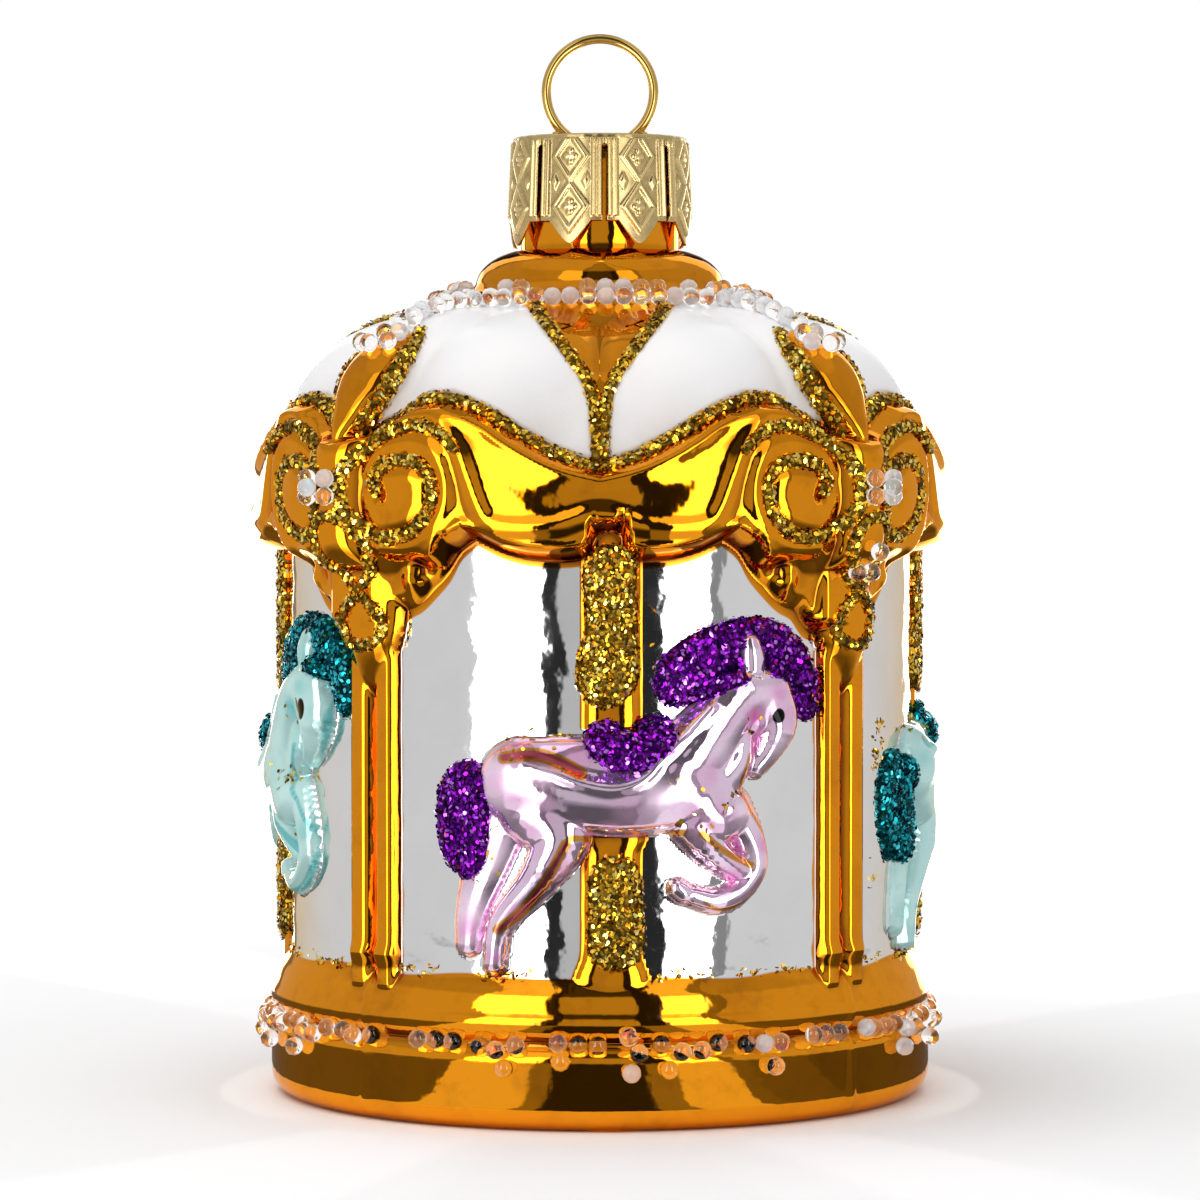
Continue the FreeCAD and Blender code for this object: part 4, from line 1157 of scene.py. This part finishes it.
def strip(stations, height, turn, bare=None, dust=None):
    """A domed strip of glue along (angle, level, half width) stations: points, faces and cover.

    It sinks under the glass where the chain called bare stands through it. Dust is a share of
    a full cover, for stray flakes whose strip stays under the glass.
    """
    line = smooth_line(stations)
    grid = glass()
    radius = np.interp(line[:, 1], grid["level"], grid["radius"].mean(axis=1))
    across_mm = radius * math.pi / 180.0
    slope = np.radians(np.clip(line[:, 1] - fan_level, 0, None) / fan_scale)
    up_mm = np.where(line[:, 1] > fan_level, across_mm / fan_scale / np.cos(slope), 1.0)
    to_mm = np.stack([across_mm, up_mm], -1)
    run = np.gradient(line[:, :2], axis=0) * to_mm
    run = run / np.maximum(np.linalg.norm(run, axis=1, keepdims=True), 1e-9)
    steps = np.diff(line[:, :2], axis=0) * to_mm[1:]
    travelled = np.concatenate([[0], np.cumsum(np.linalg.norm(steps, axis=1))])
    to_end = np.minimum(travelled, travelled[-1] - travelled)
    half = line[:, 2] * np.sqrt(1 - (1 - np.clip((to_end + 0.12) / line[:, 2], 0, 1)) ** 2)
    sides = np.linspace(-1, 1, strip_columns)
    offset = half[:, None] * sides[None, :]
    angle = line[:, :1] - offset * run[:, 1:2] / across_mm[:, None]
    level = line[:, 1:2] + offset * run[:, 0:1] / up_mm[:, None]
    points, normals = on_glass(angle, level)
    lift = strip_rise + height * dome(sides, 1.0)[None, :] * (half / line[:, 2])[:, None]
    cover = np.ones_like(lift)
    if bare is not None:
        u, h = (angle - drum_turn) * drum_arc, level - drum_foot
        inside = np.maximum.reduce([reach - away for away, reach in chain_places(u, h, bare)])
        cover = np.clip(0.2 - inside / 0.3, 0, 1)
        lift = (lift + 0.1) * cover - 0.1
    if dust is not None:
        lift = np.full_like(lift, -dust_sink)
        cover = np.full_like(lift, dust)
    top = points + normals * lift[..., None]
    under = points[:, ::-1][:, 1:-1] - strip_sink * normals[:, ::-1][:, 1:-1]
    rings = np.concatenate([top, under], axis=1)
    count = rings.shape[1]
    faces = [face[::-1] for face in tube_faces(len(rings), count)]
    cover = np.concatenate([cover, np.zeros((len(rings), count - strip_columns))], axis=1)
    return turned_points(rings.reshape(-1, 3), turn), faces, cover.ravel()


def glitter_piece(node, strips, kind):
    """One glittered node: its glue strips and their flakes, as one mesh."""
    look = bpy.context.scene.glitter_look
    points, faces, cover = joined(strips)
    source = new_object(node + "_strips", points, faces)
    store_values(source, "cover", cover)
    seed = look.seed + sum(ord(letter) for letter in node)
    piece = MADE["flakes"].apply(node + "_flakes", source, {
        "Flake Width": look.flake, "Flakes per Area": look.per_area * 1e6, "Lean": look.lean, "Seed": seed,
        "Flake Metal": MADE[kind], "Glue": MADE[kind + " glue"],
    })
    finish_piece(piece, "glass_body", node)


MADE = {}


def make_glitter_materials():
    """Node tree, flake metals and glues that all the glitter shares."""
    look = bpy.context.scene.glitter_look
    MADE["flakes"] = flake_tree()
    for kind, colour, dark, bright in (
        ("gold", look.gold, (0.13, 0.04, 0.002), (1.0, 0.86, 0.25)),
        ("purple", look.purple, (0.03, 0.001, 0.08), (0.72, 0.26, 1.0)),
        ("teal", look.teal, (0.0, 0.03, 0.045), (0.10, 0.80, 0.88)),
    ):
        MADE[kind + "_glitter"] = glitter_metal(kind + " flakes", colour, dark, bright)
        MADE[kind + "_glitter glue"] = glue(kind + " glue", colour)


def mirrored(line):
    """A line on the left and on the right of the middle, as two strokes."""
    return [[(hand * angle, *rest) for angle, *rest in line] for hand in (-1, 1)]


def on_side(stations):
    """Drum stations as (angle, level, half width) on the grid."""
    return [(drum_turn + u / drum_arc, drum_foot + h, half) for u, h, half in stations]


# Operators

class ORNAMENT_OT_glass(bpy.types.Operator):
    """Build the four sides of the blown glass"""
    bl_idname = "ornament.glass"
    bl_label = "Blown glass"

    def execute(self, context):
        look = context.scene.glass_look
        pink = lacquered_glass(
            "lacquered glass, pink horse", look.pink, look.blush, look.outline, look.wine, 0.1, "eye",
        )
        shade = look.turquoise_deep
        turquoise = lacquered_glass(
            "lacquered glass, turquoise horse", look.turquoise, shade, shade, shade, 0.65, "leaf_eye",
        )
        points, normals, faces = self.shell()
        paint = glass()["paint"]
        before = len(UNDERSIDE) * side_columns
        unpainted = {"painted": 10.0, "blush": 0.0, "haze": 0.0, "crease_shade": 0.0}
        for side, degrees in SIDES.items():
            piece = new_object("glass_" + side, turned_points(points, degrees), faces)
            for name, values in paint.items():
                full = np.full(len(points), unpainted.get(name, -10.0))
                full[before:before + values.size] = values.ravel()
                store_values(piece, name, full)
            mesh = piece.data
            mesh.normals_split_custom_set_from_vertices(turned_points(normals, degrees).tolist())
            mesh.materials.append(pink if side in PINK_SIDES else turquoise)
            finish_piece(piece, "glass_body", "glass_shell")
        return {"FINISHED"}

    @staticmethod
    def shell():
        """Points, normals and faces of one side: the underside, the outside, the neck and the inside."""
        grid = glass()
        inner_neck = neck_radius - glass_wall
        plain = [(neck_radius, z) for z in np.linspace(neck_foot, neck_top - 0.4, 14)[1:]]
        plain += [(neck_radius - 0.15, neck_top - 0.1), (neck_radius - 0.4, neck_top)]
        plain += [(inner_neck + 0.3, neck_top), (inner_neck, neck_top - 0.4), (inner_neck, neck_foot)]
        plain += [(crown_radius - glass_wall, crown_foot - 0.8), *INSIDE]

        def ring(places):
            return [np.repeat(values[:, None], side_columns, 1) for values in np.array(places).T]

        under, inside = ring(UNDERSIDE), ring(plain)
        radius = np.vstack([under[0], grid["radius"], inside[0]])
        height = np.vstack([under[1], grid["height"], inside[1]])
        normal = grid_normals(grid["angle"], radius, height)
        points, normals = in_space(radius, height, normal, np.radians(grid["angle"])[None, :])
        points = np.vstack([points.reshape(-1, 3), [[0, 0, 0.0], [0, 0, glass_wall]]])
        normals = np.vstack([normals.reshape(-1, 3), [[0, 0, -1.0], [0, 0, 1.0]]])
        floor, ceiling, last = radius.size, radius.size + 1, radius.size - side_columns
        faces = grid_faces(*radius.shape)
        faces += [[floor, i + 1, i] for i in range(side_columns - 1)]
        faces += [[ceiling, last + i, last + i + 1] for i in range(side_columns - 1)]
        return points, normals, faces


class ORNAMENT_OT_roof_glitter(bpy.types.Operator):
    """Lay the gold glitter on the roof, cornice, scrolls, capitals and poles"""
    bl_idname = "ornament.roof_glitter"
    bl_label = "Gold glitter"

    def execute(self, context):
        look = context.scene.glitter_look
        half, line_height = look.line_half_width / MM, look.line_height / MM
        for side, degrees in SIDES.items():
            strips = [strip(stroke, line_height, degrees) for stroke in mirrored(WEDGE_LINE)]
            glitter_piece("wedge_glitter_" + side, strips, "gold_glitter")
            coats = [strip(on_side(stations), line_height, degrees) for stations in POLE_COATS]
            stray = STRAY if side in PINK_SIDES else STRAY + TURQUOISE_STRAY
            coats += [strip(on_side(stations), 0.0, degrees, dust=share) for share, stations in stray]
            for start, end in SILL_LINES:
                turns = np.linspace(start, end, 8)
                line = [(a, sill_level + 0.2 * math.sin(a), sill_half) for a in turns]
                coats.append(strip(line, 0.0, degrees, dust=sill_cover))
            glitter_piece("pole_glitter_" + side, coats, "gold_glitter")
        top = curve(CORNICE_TOP)
        swag = [(half_side - a, float(top(a)) - 0.25, half) for a in np.linspace(0.3, 40.5, 22)]
        knot = [(self.column_turn(level) + a, level, half) for a, level in KNOT_LINE]
        widths = np.interp(range(len(SCROLL_LINE)), scroll_points, scroll_half_widths)
        coils = mirrored([(half_side - a, level, w) for (a, level), w in zip(SCROLL_LINE, widths)])
        lines = {
            "swag": mirrored(swag), "rib": mirrored(RIB_LINE), "capital": [knot],
            "left_scroll": coils[:1], "right_scroll": coils[1:],
        }
        for corner, degrees in CORNERS.items():
            for name, strokes in lines.items():
                strips = [strip(s, line_height, degrees - half_side) for s in self.moved(strokes)]
                glitter_piece(f"{name}_glitter_{corner}", strips, "gold_glitter")
        return {"FINISHED"}

    @staticmethod
    def column_turn(level):
        """How far the drum's turn has carried a corner at a level under the cornice."""
        return drum_turn * max(0.0, min(1.0, (turn_top - level) / turn_run))

    @staticmethod
    def moved(strokes):
        """Strokes about a corner, as angles from the middle of the side before it."""
        return [[(half_side + station[0], *station[1:]) for station in stroke] for stroke in strokes]


class ORNAMENT_OT_horse_glitter(bpy.types.Operator):
    """Lay the coloured glitter on the manes, saddles and tails"""
    bl_idname = "ornament.horse_glitter"
    bl_label = "Horse glitter"

    def execute(self, context):
        pad_height = context.scene.glitter_look.pad_height / MM
        for side, degrees in SIDES.items():
            kind = "purple_glitter" if side in PINK_SIDES else "teal_glitter"
            for name, pads in (("mane", [MANE]), ("saddle", SADDLE), ("tail", [TAIL])):
                bare = HORSE["ear"][1] if name == "mane" else None
                strips = [strip(on_side(stations), pad_height, degrees, bare) for stations in pads]
                glitter_piece(f"{name}_glitter_{side}", strips, kind)
        return {"FINISHED"}


class ORNAMENT_OT_beads(bpy.types.Operator):
    """Set the glass beads of the garlands, flowers and spray"""
    bl_idname = "ornament.beads"
    bl_label = "Glass beads"

    def execute(self, context):
        look = context.scene.bead_look
        tree = bead_tree()
        clear = bead_glass(
            "clear bead glass", ((0.99, 0.97, 0.95), (1.0, 1.0, 1.0)), (300.0, 3.0, 0.3, 0.7),
            0.02, 1.0, 1.5, (900.0, 2.0, 0.00002, 0.3),
        )
        frosted = bead_glass(
            "frosted bead glass", ((0.93, 0.92, 0.92), (0.99, 0.99, 1.0)), (900.0, 4.0, 0.35, 0.65),
            0.12, 0.6, 1.45, (1600.0, 3.0, 0.00004, 0.5),
        )
        flowers = ["corner_bead_flower_" + corner for corner in CORNERS]
        names = ["base_bead_garland", "roof_bead_garland", "corner_bead_spray_front_right", *flowers]
        for number, name in enumerate(names):
            centres, radius = self.balls(frame["nodes"][name])
            frosted_share = look.frosted
            if name == "base_bead_garland":
                frosted_share = look.base_frosted
                centres = self.strung(self.base_rows(np.random.RandomState(look.seed), radius), radius)
            elif name == "roof_bead_garland":
                centres = self.strung(self.roof_rows(np.random.RandomState(look.seed)), radius)
            elif name in flowers:
                centres = self.gathered(centres, radius)
            source = new_object(name + "_points", centres, [])
            piece = tree.apply(name + "_glass", source, {
                "Bead Radius": radius * MM, "Frosted Share": frosted_share, "Seed": look.seed + number,
                "Clear": clear, "Frosted": frosted,
            })
            finish_piece(piece, "glass_body", name)
        return {"FINISHED"}

    @staticmethod
    def gathered(centres, radius):
        """A flower's beads drawn together, with the middle one lifted onto the others."""
        middle = centres.mean(axis=0)
        outward = np.array([middle[0], middle[1], 0.0]) / math.hypot(middle[0], middle[1])
        heart = np.argmin(np.linalg.norm(centres - middle, axis=1))
        places = middle + (centres - middle) * flower_draw
        places[heart] += flower_lift * radius * outward
        return places

    @staticmethod
    def base_rows(draw, radius):
        """Places of the base garland: clusters that hang from the groove, (angle, level, left out)."""
        places = []
        turn = 0.0
        while turn < 356.0:
            cluster = CLUSTERS[draw.randint(len(CLUSTERS))]
            for along, up in cluster:
                angle = turn + math.degrees(2 * radius * along / BODY[0][0])
                places.append((angle, groove_level + 2 * radius * up + draw.uniform(-0.15, 0.15), False))
            width = max(along for along, _ in cluster) + draw.uniform(1.1, 1.6)
            turn += math.degrees(2 * radius * width / BODY[0][0])
        return places

    @staticmethod
    def roof_rows(draw):
        """Places of the roof garland: a tail down each corner, a full ring and a sparser one above."""
        places = []
        for corner in CORNERS.values():
            for side, up in ((0.0, 0.0), (-3.2, 0.15), (3.0, 0.2), (-1.5, 1.0), (1.8, 1.1)):
                places.append((corner + side, garland_end + up, False))
            for level in np.arange(garland_end + 1.0, garland_level, 0.04):
                places.append((corner + draw.uniform(-0.8, 0.8), level, False))
        for level, share in ((garland_level, 1.0), (garland_upper, 0.62)):
            for angle in np.arange(0.0, 360.0, 0.4):
                places.append((angle, level + draw.uniform(-0.15, 0.15), draw.uniform() > share))
        return places

    @staticmethod
    def strung(places, radius):
        """Centres of beads on the glass, taken in turn wherever there is room; some are left out."""
        angles, levels, left_out = (np.array(values) for values in zip(*places))
        points, normals = on_glass(angles.astype(float), levels.astype(float))
        taken, kept = [], []
        for point, gap in zip(points + bead_seat * radius * normals, left_out):
            if all(np.linalg.norm(point - other) > bead_room * radius for other in taken):
                taken.append(point)
                if not gap:
                    kept.append(point)
        return np.array(kept)

    @staticmethod
    def balls(node):
        """Centres and radius of the separate balls in a bead node, in millimetres."""
        work = bmesh.new()
        work.from_mesh(node.data)
        bmesh.ops.remove_doubles(work, verts=work.verts, dist=1e-6)
        seen, centres, radius = set(), [], 0.0
        for vertex in work.verts:
            if vertex in seen:
                continue
            island, queue = [], [vertex]
            seen.add(vertex)
            while queue:
                here = queue.pop()
                island.append(here.co)
                for edge in here.link_edges:
                    other = edge.other_vert(here)
                    if other not in seen:
                        seen.add(other)
                        queue.append(other)
            low = np.min(island, axis=0)
            high = np.max(island, axis=0)
            centres.append((low + high) / 2)
            radius = max(radius, float((high - low).max()) / 2)
        work.free()
        return np.array(centres) / MM, radius / MM


class ORNAMENT_OT_cap(bpy.types.Operator):
    """Stamp the crown cap with its embossed tongues"""
    bl_idname = "ornament.cap"
    bl_label = "Crown cap"

    tongues = 8
    tongue_turn = 3.0
    slot_half = 0.2
    stamp_edge = 0.13
    slot_top = 88.5
    skirt_radius = 8.15
    skirt_top = 89.05
    flare = 0.45
    skirt_foot = 81.35
    tip = 79.2
    rim_top = 89.4
    top_relief = 0.4
    diamonds = (87.25, 82.6)
    petals = ((0, 0), (0.33, 0), (-0.33, 0), (0, 0.5), (0, -0.5))

    def execute(self, context):
        look = context.scene.cap_look
        emboss = look.emboss / MM
        columns, rows = 53, 90
        across = np.linspace(-1, 1, columns)[None, :]
        down = np.linspace(0, 1, rows)[:, None]
        pitch_half = self.skirt_radius * math.pi / self.tongues
        flat = across * (pitch_half - self.slot_half)
        shoulder, blunt = 2.0, 0.5
        point = np.clip((shoulder - np.hypot(flat, blunt)) / (shoulder - blunt), 0, 1)
        foot = self.skirt_foot - (self.skirt_foot - self.tip) * point
        height = self.skirt_top - (self.skirt_top - foot) * down
        u = across * (pitch_half - self.slot_half * np.clip((self.slot_top - height) / 0.2, 0, 1))
        relief = self.pattern(u, height) * np.clip((self.skirt_top - height) / 0.2, 0, 1)
        flare = self.flare * (self.skirt_top - height) / (self.skirt_top - self.tip)
        radius = self.skirt_radius + flare + emboss * relief
        faces = [face[::-1] for face in grid_faces(rows, columns)]
        parts = []
        for k in range(self.tongues):
            middle = math.radians((k + 0.5) * 360.0 / self.tongues + self.tongue_turn)
            tongue = around(radius, middle + u / self.skirt_radius, height)
            parts.append((tongue.reshape(-1, 3), faces, relief.ravel()))
        parts.append(self.top())
        points, faces, marks = joined(parts)
        cap = new_object("crown_cap", points, faces)
        store_values(cap, "relief", marks)
        cap.data.materials.append(cap_metal())
        wall = cap.modifiers.new("Sheet", "SOLIDIFY")
        wall.thickness = look.sheet
        wall.offset = -1.0
        piece = evaluated_piece("crown_cap_stamped", cap)
        finish_piece(piece, "cap", "hanger_cap")
        return {"FINISHED"}

    def pattern(self, u, height):
        """Stamped relief from 0 to 1: two diamonds with a four-petalled flower each, and fluted edges."""
        relief = np.zeros(np.broadcast(u, height).shape)

        def raised(distance, half_width):
            return np.clip((half_width - np.abs(distance)) / self.stamp_edge + 0.5, 0, 1)

        for middle in self.diamonds:
            half_w, half_h = 1.17, 1.68
            rise = height - middle
            slant = half_w * half_h / math.hypot(half_w, half_h)
            norm = np.abs(u) / half_w + np.abs(rise) / half_h
            relief = np.maximum(relief, raised((norm - 1.27) * slant, 0.21))
            petals = [np.hypot(u - x, rise - y) for x, y in self.petals]
            relief = np.maximum(relief, 0.9 * raised(np.minimum.reduce(petals), 0.26))
        sides = np.clip((height - self.skirt_foot - 0.35) / 0.15, 0, 1)
        for place in (2.2, 2.75):
            relief = np.maximum(relief, raised(np.abs(u) - place, 0.16) * sides)
        bud = np.abs(np.abs(u) - 1.5) / 0.35 + np.abs(height - 84.95) / 0.75
        relief = np.maximum(relief, 0.8 * raised(0.3 * bud, 0.3))
        return relief

    def top(self):
        """The folded rim and dished top, as one lathed sheet with shallow crimps, and its relief."""
        r, z = self.skirt_radius, neck_top
        profile = [
            (r, self.skirt_top - 0.15), (r - 0.03, z + 1.2), (r - 0.14, z + 1.38), (r - 0.4, self.rim_top),
            (r - 0.75, z + 1.35), (r - 0.95, z + 0.95), (r - 1.05, z + 0.6), (r - 1.3, z + 0.38),
            (6.0, z + 0.3), (4.0, z + 0.3), (2.0, z + 0.3), (0.7, z + 0.3),
        ]
        line = smooth_line(profile, 3)
        count = 192
        turn = full_turn(count)[None, :]
        crimp = 0.05 * hump(line[:, :1] - r + 0.3, 0.4) * np.cos(32 * turn)
        points = around(line[:, :1] + crimp, turn, line[:, 1:]).reshape(-1, 3)
        faces = grid_faces(len(line), count, closed=True)
        last = (len(line) - 1) * count
        points = np.vstack([points, [[0, 0, line[-1, 1]]]])
        faces += [[last + i, last + (i + 1) % count, len(points) - 1] for i in range(count)]
        return points, faces, np.full(len(points), self.top_relief)


class ORNAMENT_OT_hanger(bpy.types.Operator):
    """Bend the wire hanger"""
    bl_idname = "ornament.hanger"
    bl_label = "Wire hanger"

    wire_radius = 0.45
    ring_radius = 5.05
    ring_rise = 5.7
    bend_radius = 1.2
    leg_spacing = 2.39
    leg_straight = 4.0
    leg_drop = 15.0
    leg_foot = 4.89

    def execute(self, context):
        line = self.route()
        run = np.gradient(line, axis=0)
        run = run / np.linalg.norm(run, axis=1, keepdims=True)
        side = np.array([[0.0, 1.0, 0.0]])
        up = np.cross(run, side)
        turn = full_turn(16)
        rings = [line + self.wire_radius * (math.cos(t) * side + math.sin(t) * up) for t in turn]
        points = np.stack(rings, axis=1).reshape(-1, 3)
        piece = new_object("hanger_loop", points, tube_faces(len(line), len(turn)))
        piece.data.materials.append(wire_metal())
        finish_piece(piece, "hanger", "hanger_wire")
        return {"FINISHED"}

    def route(self):
        """The wire's middle line: foot, leg, bend, loop, and the same back."""
        centre = neck_top + self.ring_rise
        bend_x = self.leg_spacing + self.bend_radius
        drop = math.sqrt((self.ring_radius + self.bend_radius) ** 2 - bend_x ** 2)
        lean = math.atan2(bend_x, drop)
        loop = np.linspace(lean - math.pi, math.pi - lean, 120)
        ring_x, ring_z = self.ring_radius * np.sin(loop), centre + self.ring_radius * np.cos(loop)
        ring = np.stack([ring_x, 0 * loop, ring_z], -1)[::-1]
        sweep = np.linspace(0, math.pi - lean, 14)[:-1]
        turn_x = bend_x - self.bend_radius * np.cos(sweep)
        turn_z = centre - drop + self.bend_radius * np.sin(sweep)
        bend = np.stack([turn_x, 0 * sweep, turn_z], -1)
        knee = np.array([self.leg_spacing, 0, neck_top - self.leg_straight])
        foot = np.array([self.leg_foot, 0, neck_top - self.leg_drop])
        leg = smooth_line([
            foot, (foot + knee) / 2, knee + (foot - knee) * 0.08, knee + [0, 0, 0.9],
            knee + [0, 0, 2.5], bend[0] - [0, 0, 0.2],
        ])
        right = np.vstack([leg, bend])
        left = right[::-1] * np.array([-1.0, 1.0, 1.0])
        return np.vstack([right, ring, left])


class ORNAMENT_OT_stage(bpy.types.Operator):
    """Set the floor, light tent and camera"""
    bl_idname = "ornament.stage"
    bl_label = "Stage"

    def execute(self, context):
        look = context.scene.stage_look
        scene = context.scene
        scene.view_settings.view_transform = "Standard"
        self.floor(look)
        self.world(scene, look)
        self.tent(look)
        self.lamp()
        camera = bpy.data.objects.new("camera", bpy.data.cameras.new("camera"))
        scene.collection.objects.link(camera)
        camera.data.lens = look.lens
        camera.data.sensor_width = 36.0
        camera.data.clip_start = 0.01
        camera.location = (0, -look.distance, look.height)
        camera.rotation_euler = (math.pi / 2 - look.pitch, 0, 0)
        scene.camera = camera
        return {"FINISHED"}

    @staticmethod
    def floor(look):
        """A pale floor that fades into the backdrop a little way from the object."""
        count, floor_radius, floor_level = 96, 4000.0, -0.02
        points = np.vstack([[[0, 0, floor_level]], around(floor_radius, full_turn(count), floor_level)])
        floor = new_object("floor", points, [[0, i + 1, (i + 1) % count + 1] for i in range(count)])
        s = Shader("pale floor")
        place = s.out("ShaderNodeTexCoord", output="Object")
        away = s.out("ShaderNodeVectorMath", {0: place}, "Value", operation="LENGTH")
        glow = s.math("MULTIPLY", s.span(away, 0.045, 0.14), seen_rays(s))
        s.set(base_color=(0.93, 0.93, 0.935), roughness=0.7)
        light = s.out("ShaderNodeEmission", {"Color": look.backdrop, "Strength": 1.0})
        s.show(s.out("ShaderNodeMixShader", {0: glow, 1: s.surface.outputs[0], 2: light}))
        floor.data.materials.append(s.material)

    @staticmethod
    def world(scene, look):
        """The backdrop where rays see it, and an even light where they don't."""
        world = bpy.data.worlds.new("light tent")
        scene.world = world
        world.use_nodes = True
        builder = NodeBuilder(world.node_tree)
        even = world.node_tree.nodes["Background"]
        builder.put(even.inputs["Color"], (1.0, 1.0, 1.0))
        builder.put(even.inputs["Strength"], look.tent)
        white = builder.out("ShaderNodeBackground", {"Color": look.backdrop})
        inputs = {0: seen_rays(builder), 1: even.outputs[0], 2: white}
        mixed = builder.out("ShaderNodeMixShader", inputs)
        builder.put(world.node_tree.nodes["World Output"].inputs["Surface"], mixed)

    @staticmethod
    def tent(look):
        """A round tent that only reflections see: softboxes and dark flags, by angle from the camera."""
        grey, white, dark = look.tent, look.softbox, 0.02
        side, softbox, flag = (0.16, grey, 0.5, 0.6), (0.9, white, 1.3, 0.6), (0.3, dark, dark, 0.3)
        front = [
            (-41.0, side), (-18.0, softbox), (-12.6, flag), (12.0, (0.03, 0.5, 0.06, 0.35)), (20.0, flag),
            (36.0, softbox), (41.0, (0.2, 0.25, 0.3, 0.4)), (60.0, side), (120.0, (0.12, grey, 0.5, 0.6)),
        ]
        back = [(end + 180.0, glow) for end, glow in front[:7]]
        start = back[-1][0] - 360.0
        sectors = [(start, (0.12, grey, 0.5, 0.6))] + front + back
        profile = [
            (0.036, 0.0004), (0.08, 0.0004), (0.13, 0.0004), (0.13, 0.09), (0.13, 0.11), (0.13, 0.21),
            (0.12, 0.22), (0.004, 0.22),
        ]
        bands = (0, 0, 1, 1, 2, 2, 3, 3)
        ends = np.array([end for end, _ in sectors])
        edges = np.concatenate([ends - 0.5, ends + 0.5, np.arange(-178.3, 180.0, 7.0)])
        edges = np.unique((edges + 180.0) % 360.0 - 180.0)
        turn = np.radians(edges)
        points = [(r * np.sin(a) / MM, -r * np.cos(a) / MM, z / MM) for r, z in profile for a in turn]
        faces = grid_faces(len(profile), len(edges), closed=True)
        tent = new_object("light_tent", points, faces)
        glow = []
        for band in bands:
            for edge in edges:
                inside = [levels for end, levels in sectors if (edge - start) % 360.0 + start < end]
                glow.append((inside or [sectors[0][1]])[0][band])
        store_values(tent, "glow", glow)
        s = Shader("light tent")
        s.show(s.out("ShaderNodeEmission", {"Color": (1.0, 1.0, 1.0), "Strength": s.attribute("glow")}))
        tent.data.materials.append(s.material)
        for ray in ("camera", "diffuse", "transmission", "shadow"):
            setattr(tent, "visible_" + ray, False)

    @staticmethod
    def lamp():
        """A soft light overhead, from the left and the front."""
        data = bpy.data.lights.new("overhead softbox", "AREA")
        data.shape = "RECTANGLE"
        data.size, data.size_y = 0.7, 0.7
        data.energy = 3.2
        lamp = bpy.data.objects.new("overhead_softbox", data)
        lamp.location = (-0.15, -0.1, 0.75)
        lamp.rotation_euler = Vector((0.15, 0.1, -0.70)).to_track_quat("-Z", "Y").to_euler()
        bpy.context.scene.collection.objects.link(lamp)


class ORNAMENT_PT_panel(bpy.types.Panel):
    bl_idname = "ORNAMENT_PT_panel"
    bl_label = "Carousel Ornament"
    bl_space_type = "VIEW_3D"
    bl_region_type = "UI"
    bl_category = "Ornament"

    def draw(self, context):
        for operator in OPERATORS:
            self.layout.operator(operator.bl_idname)
        for label in LOOKS:
            group = getattr(context.scene, label)
            box = self.layout.box()
            for name in group.bl_rna.properties.keys():
                if name not in ("rna_type", "name"):
                    box.prop(group, name)


OPERATORS = (
    ORNAMENT_OT_glass, ORNAMENT_OT_roof_glitter, ORNAMENT_OT_horse_glitter, ORNAMENT_OT_beads,
    ORNAMENT_OT_cap, ORNAMENT_OT_hanger, ORNAMENT_OT_stage,
)
LOOKS = {
    "glass_look": GlassLook, "glitter_look": GlitterLook, "bead_look": BeadLook, "cap_look": CapLook,
    "stage_look": StageLook,
}


def register():
    for group in LOOKS.values():
        bpy.utils.register_class(group)
    for label, group in LOOKS.items():
        setattr(bpy.types.Scene, label, PointerProperty(type=group))
    for kind in (*OPERATORS, ORNAMENT_PT_panel):
        bpy.utils.register_class(kind)


def unregister():
    for kind in (ORNAMENT_PT_panel, *reversed(OPERATORS)):
        bpy.utils.unregister_class(kind)
    for label, group in LOOKS.items():
        delattr(bpy.types.Scene, label)
        bpy.utils.unregister_class(group)


def main():
    register()
    make_glitter_materials()
    bpy.ops.ornament.glass()
    bpy.ops.ornament.roof_glitter()
    bpy.ops.ornament.horse_glitter()
    bpy.ops.ornament.beads()
    bpy.ops.ornament.cap()
    bpy.ops.ornament.hanger()
    bpy.ops.ornament.stage()


if __name__ == "__main__":
    main()
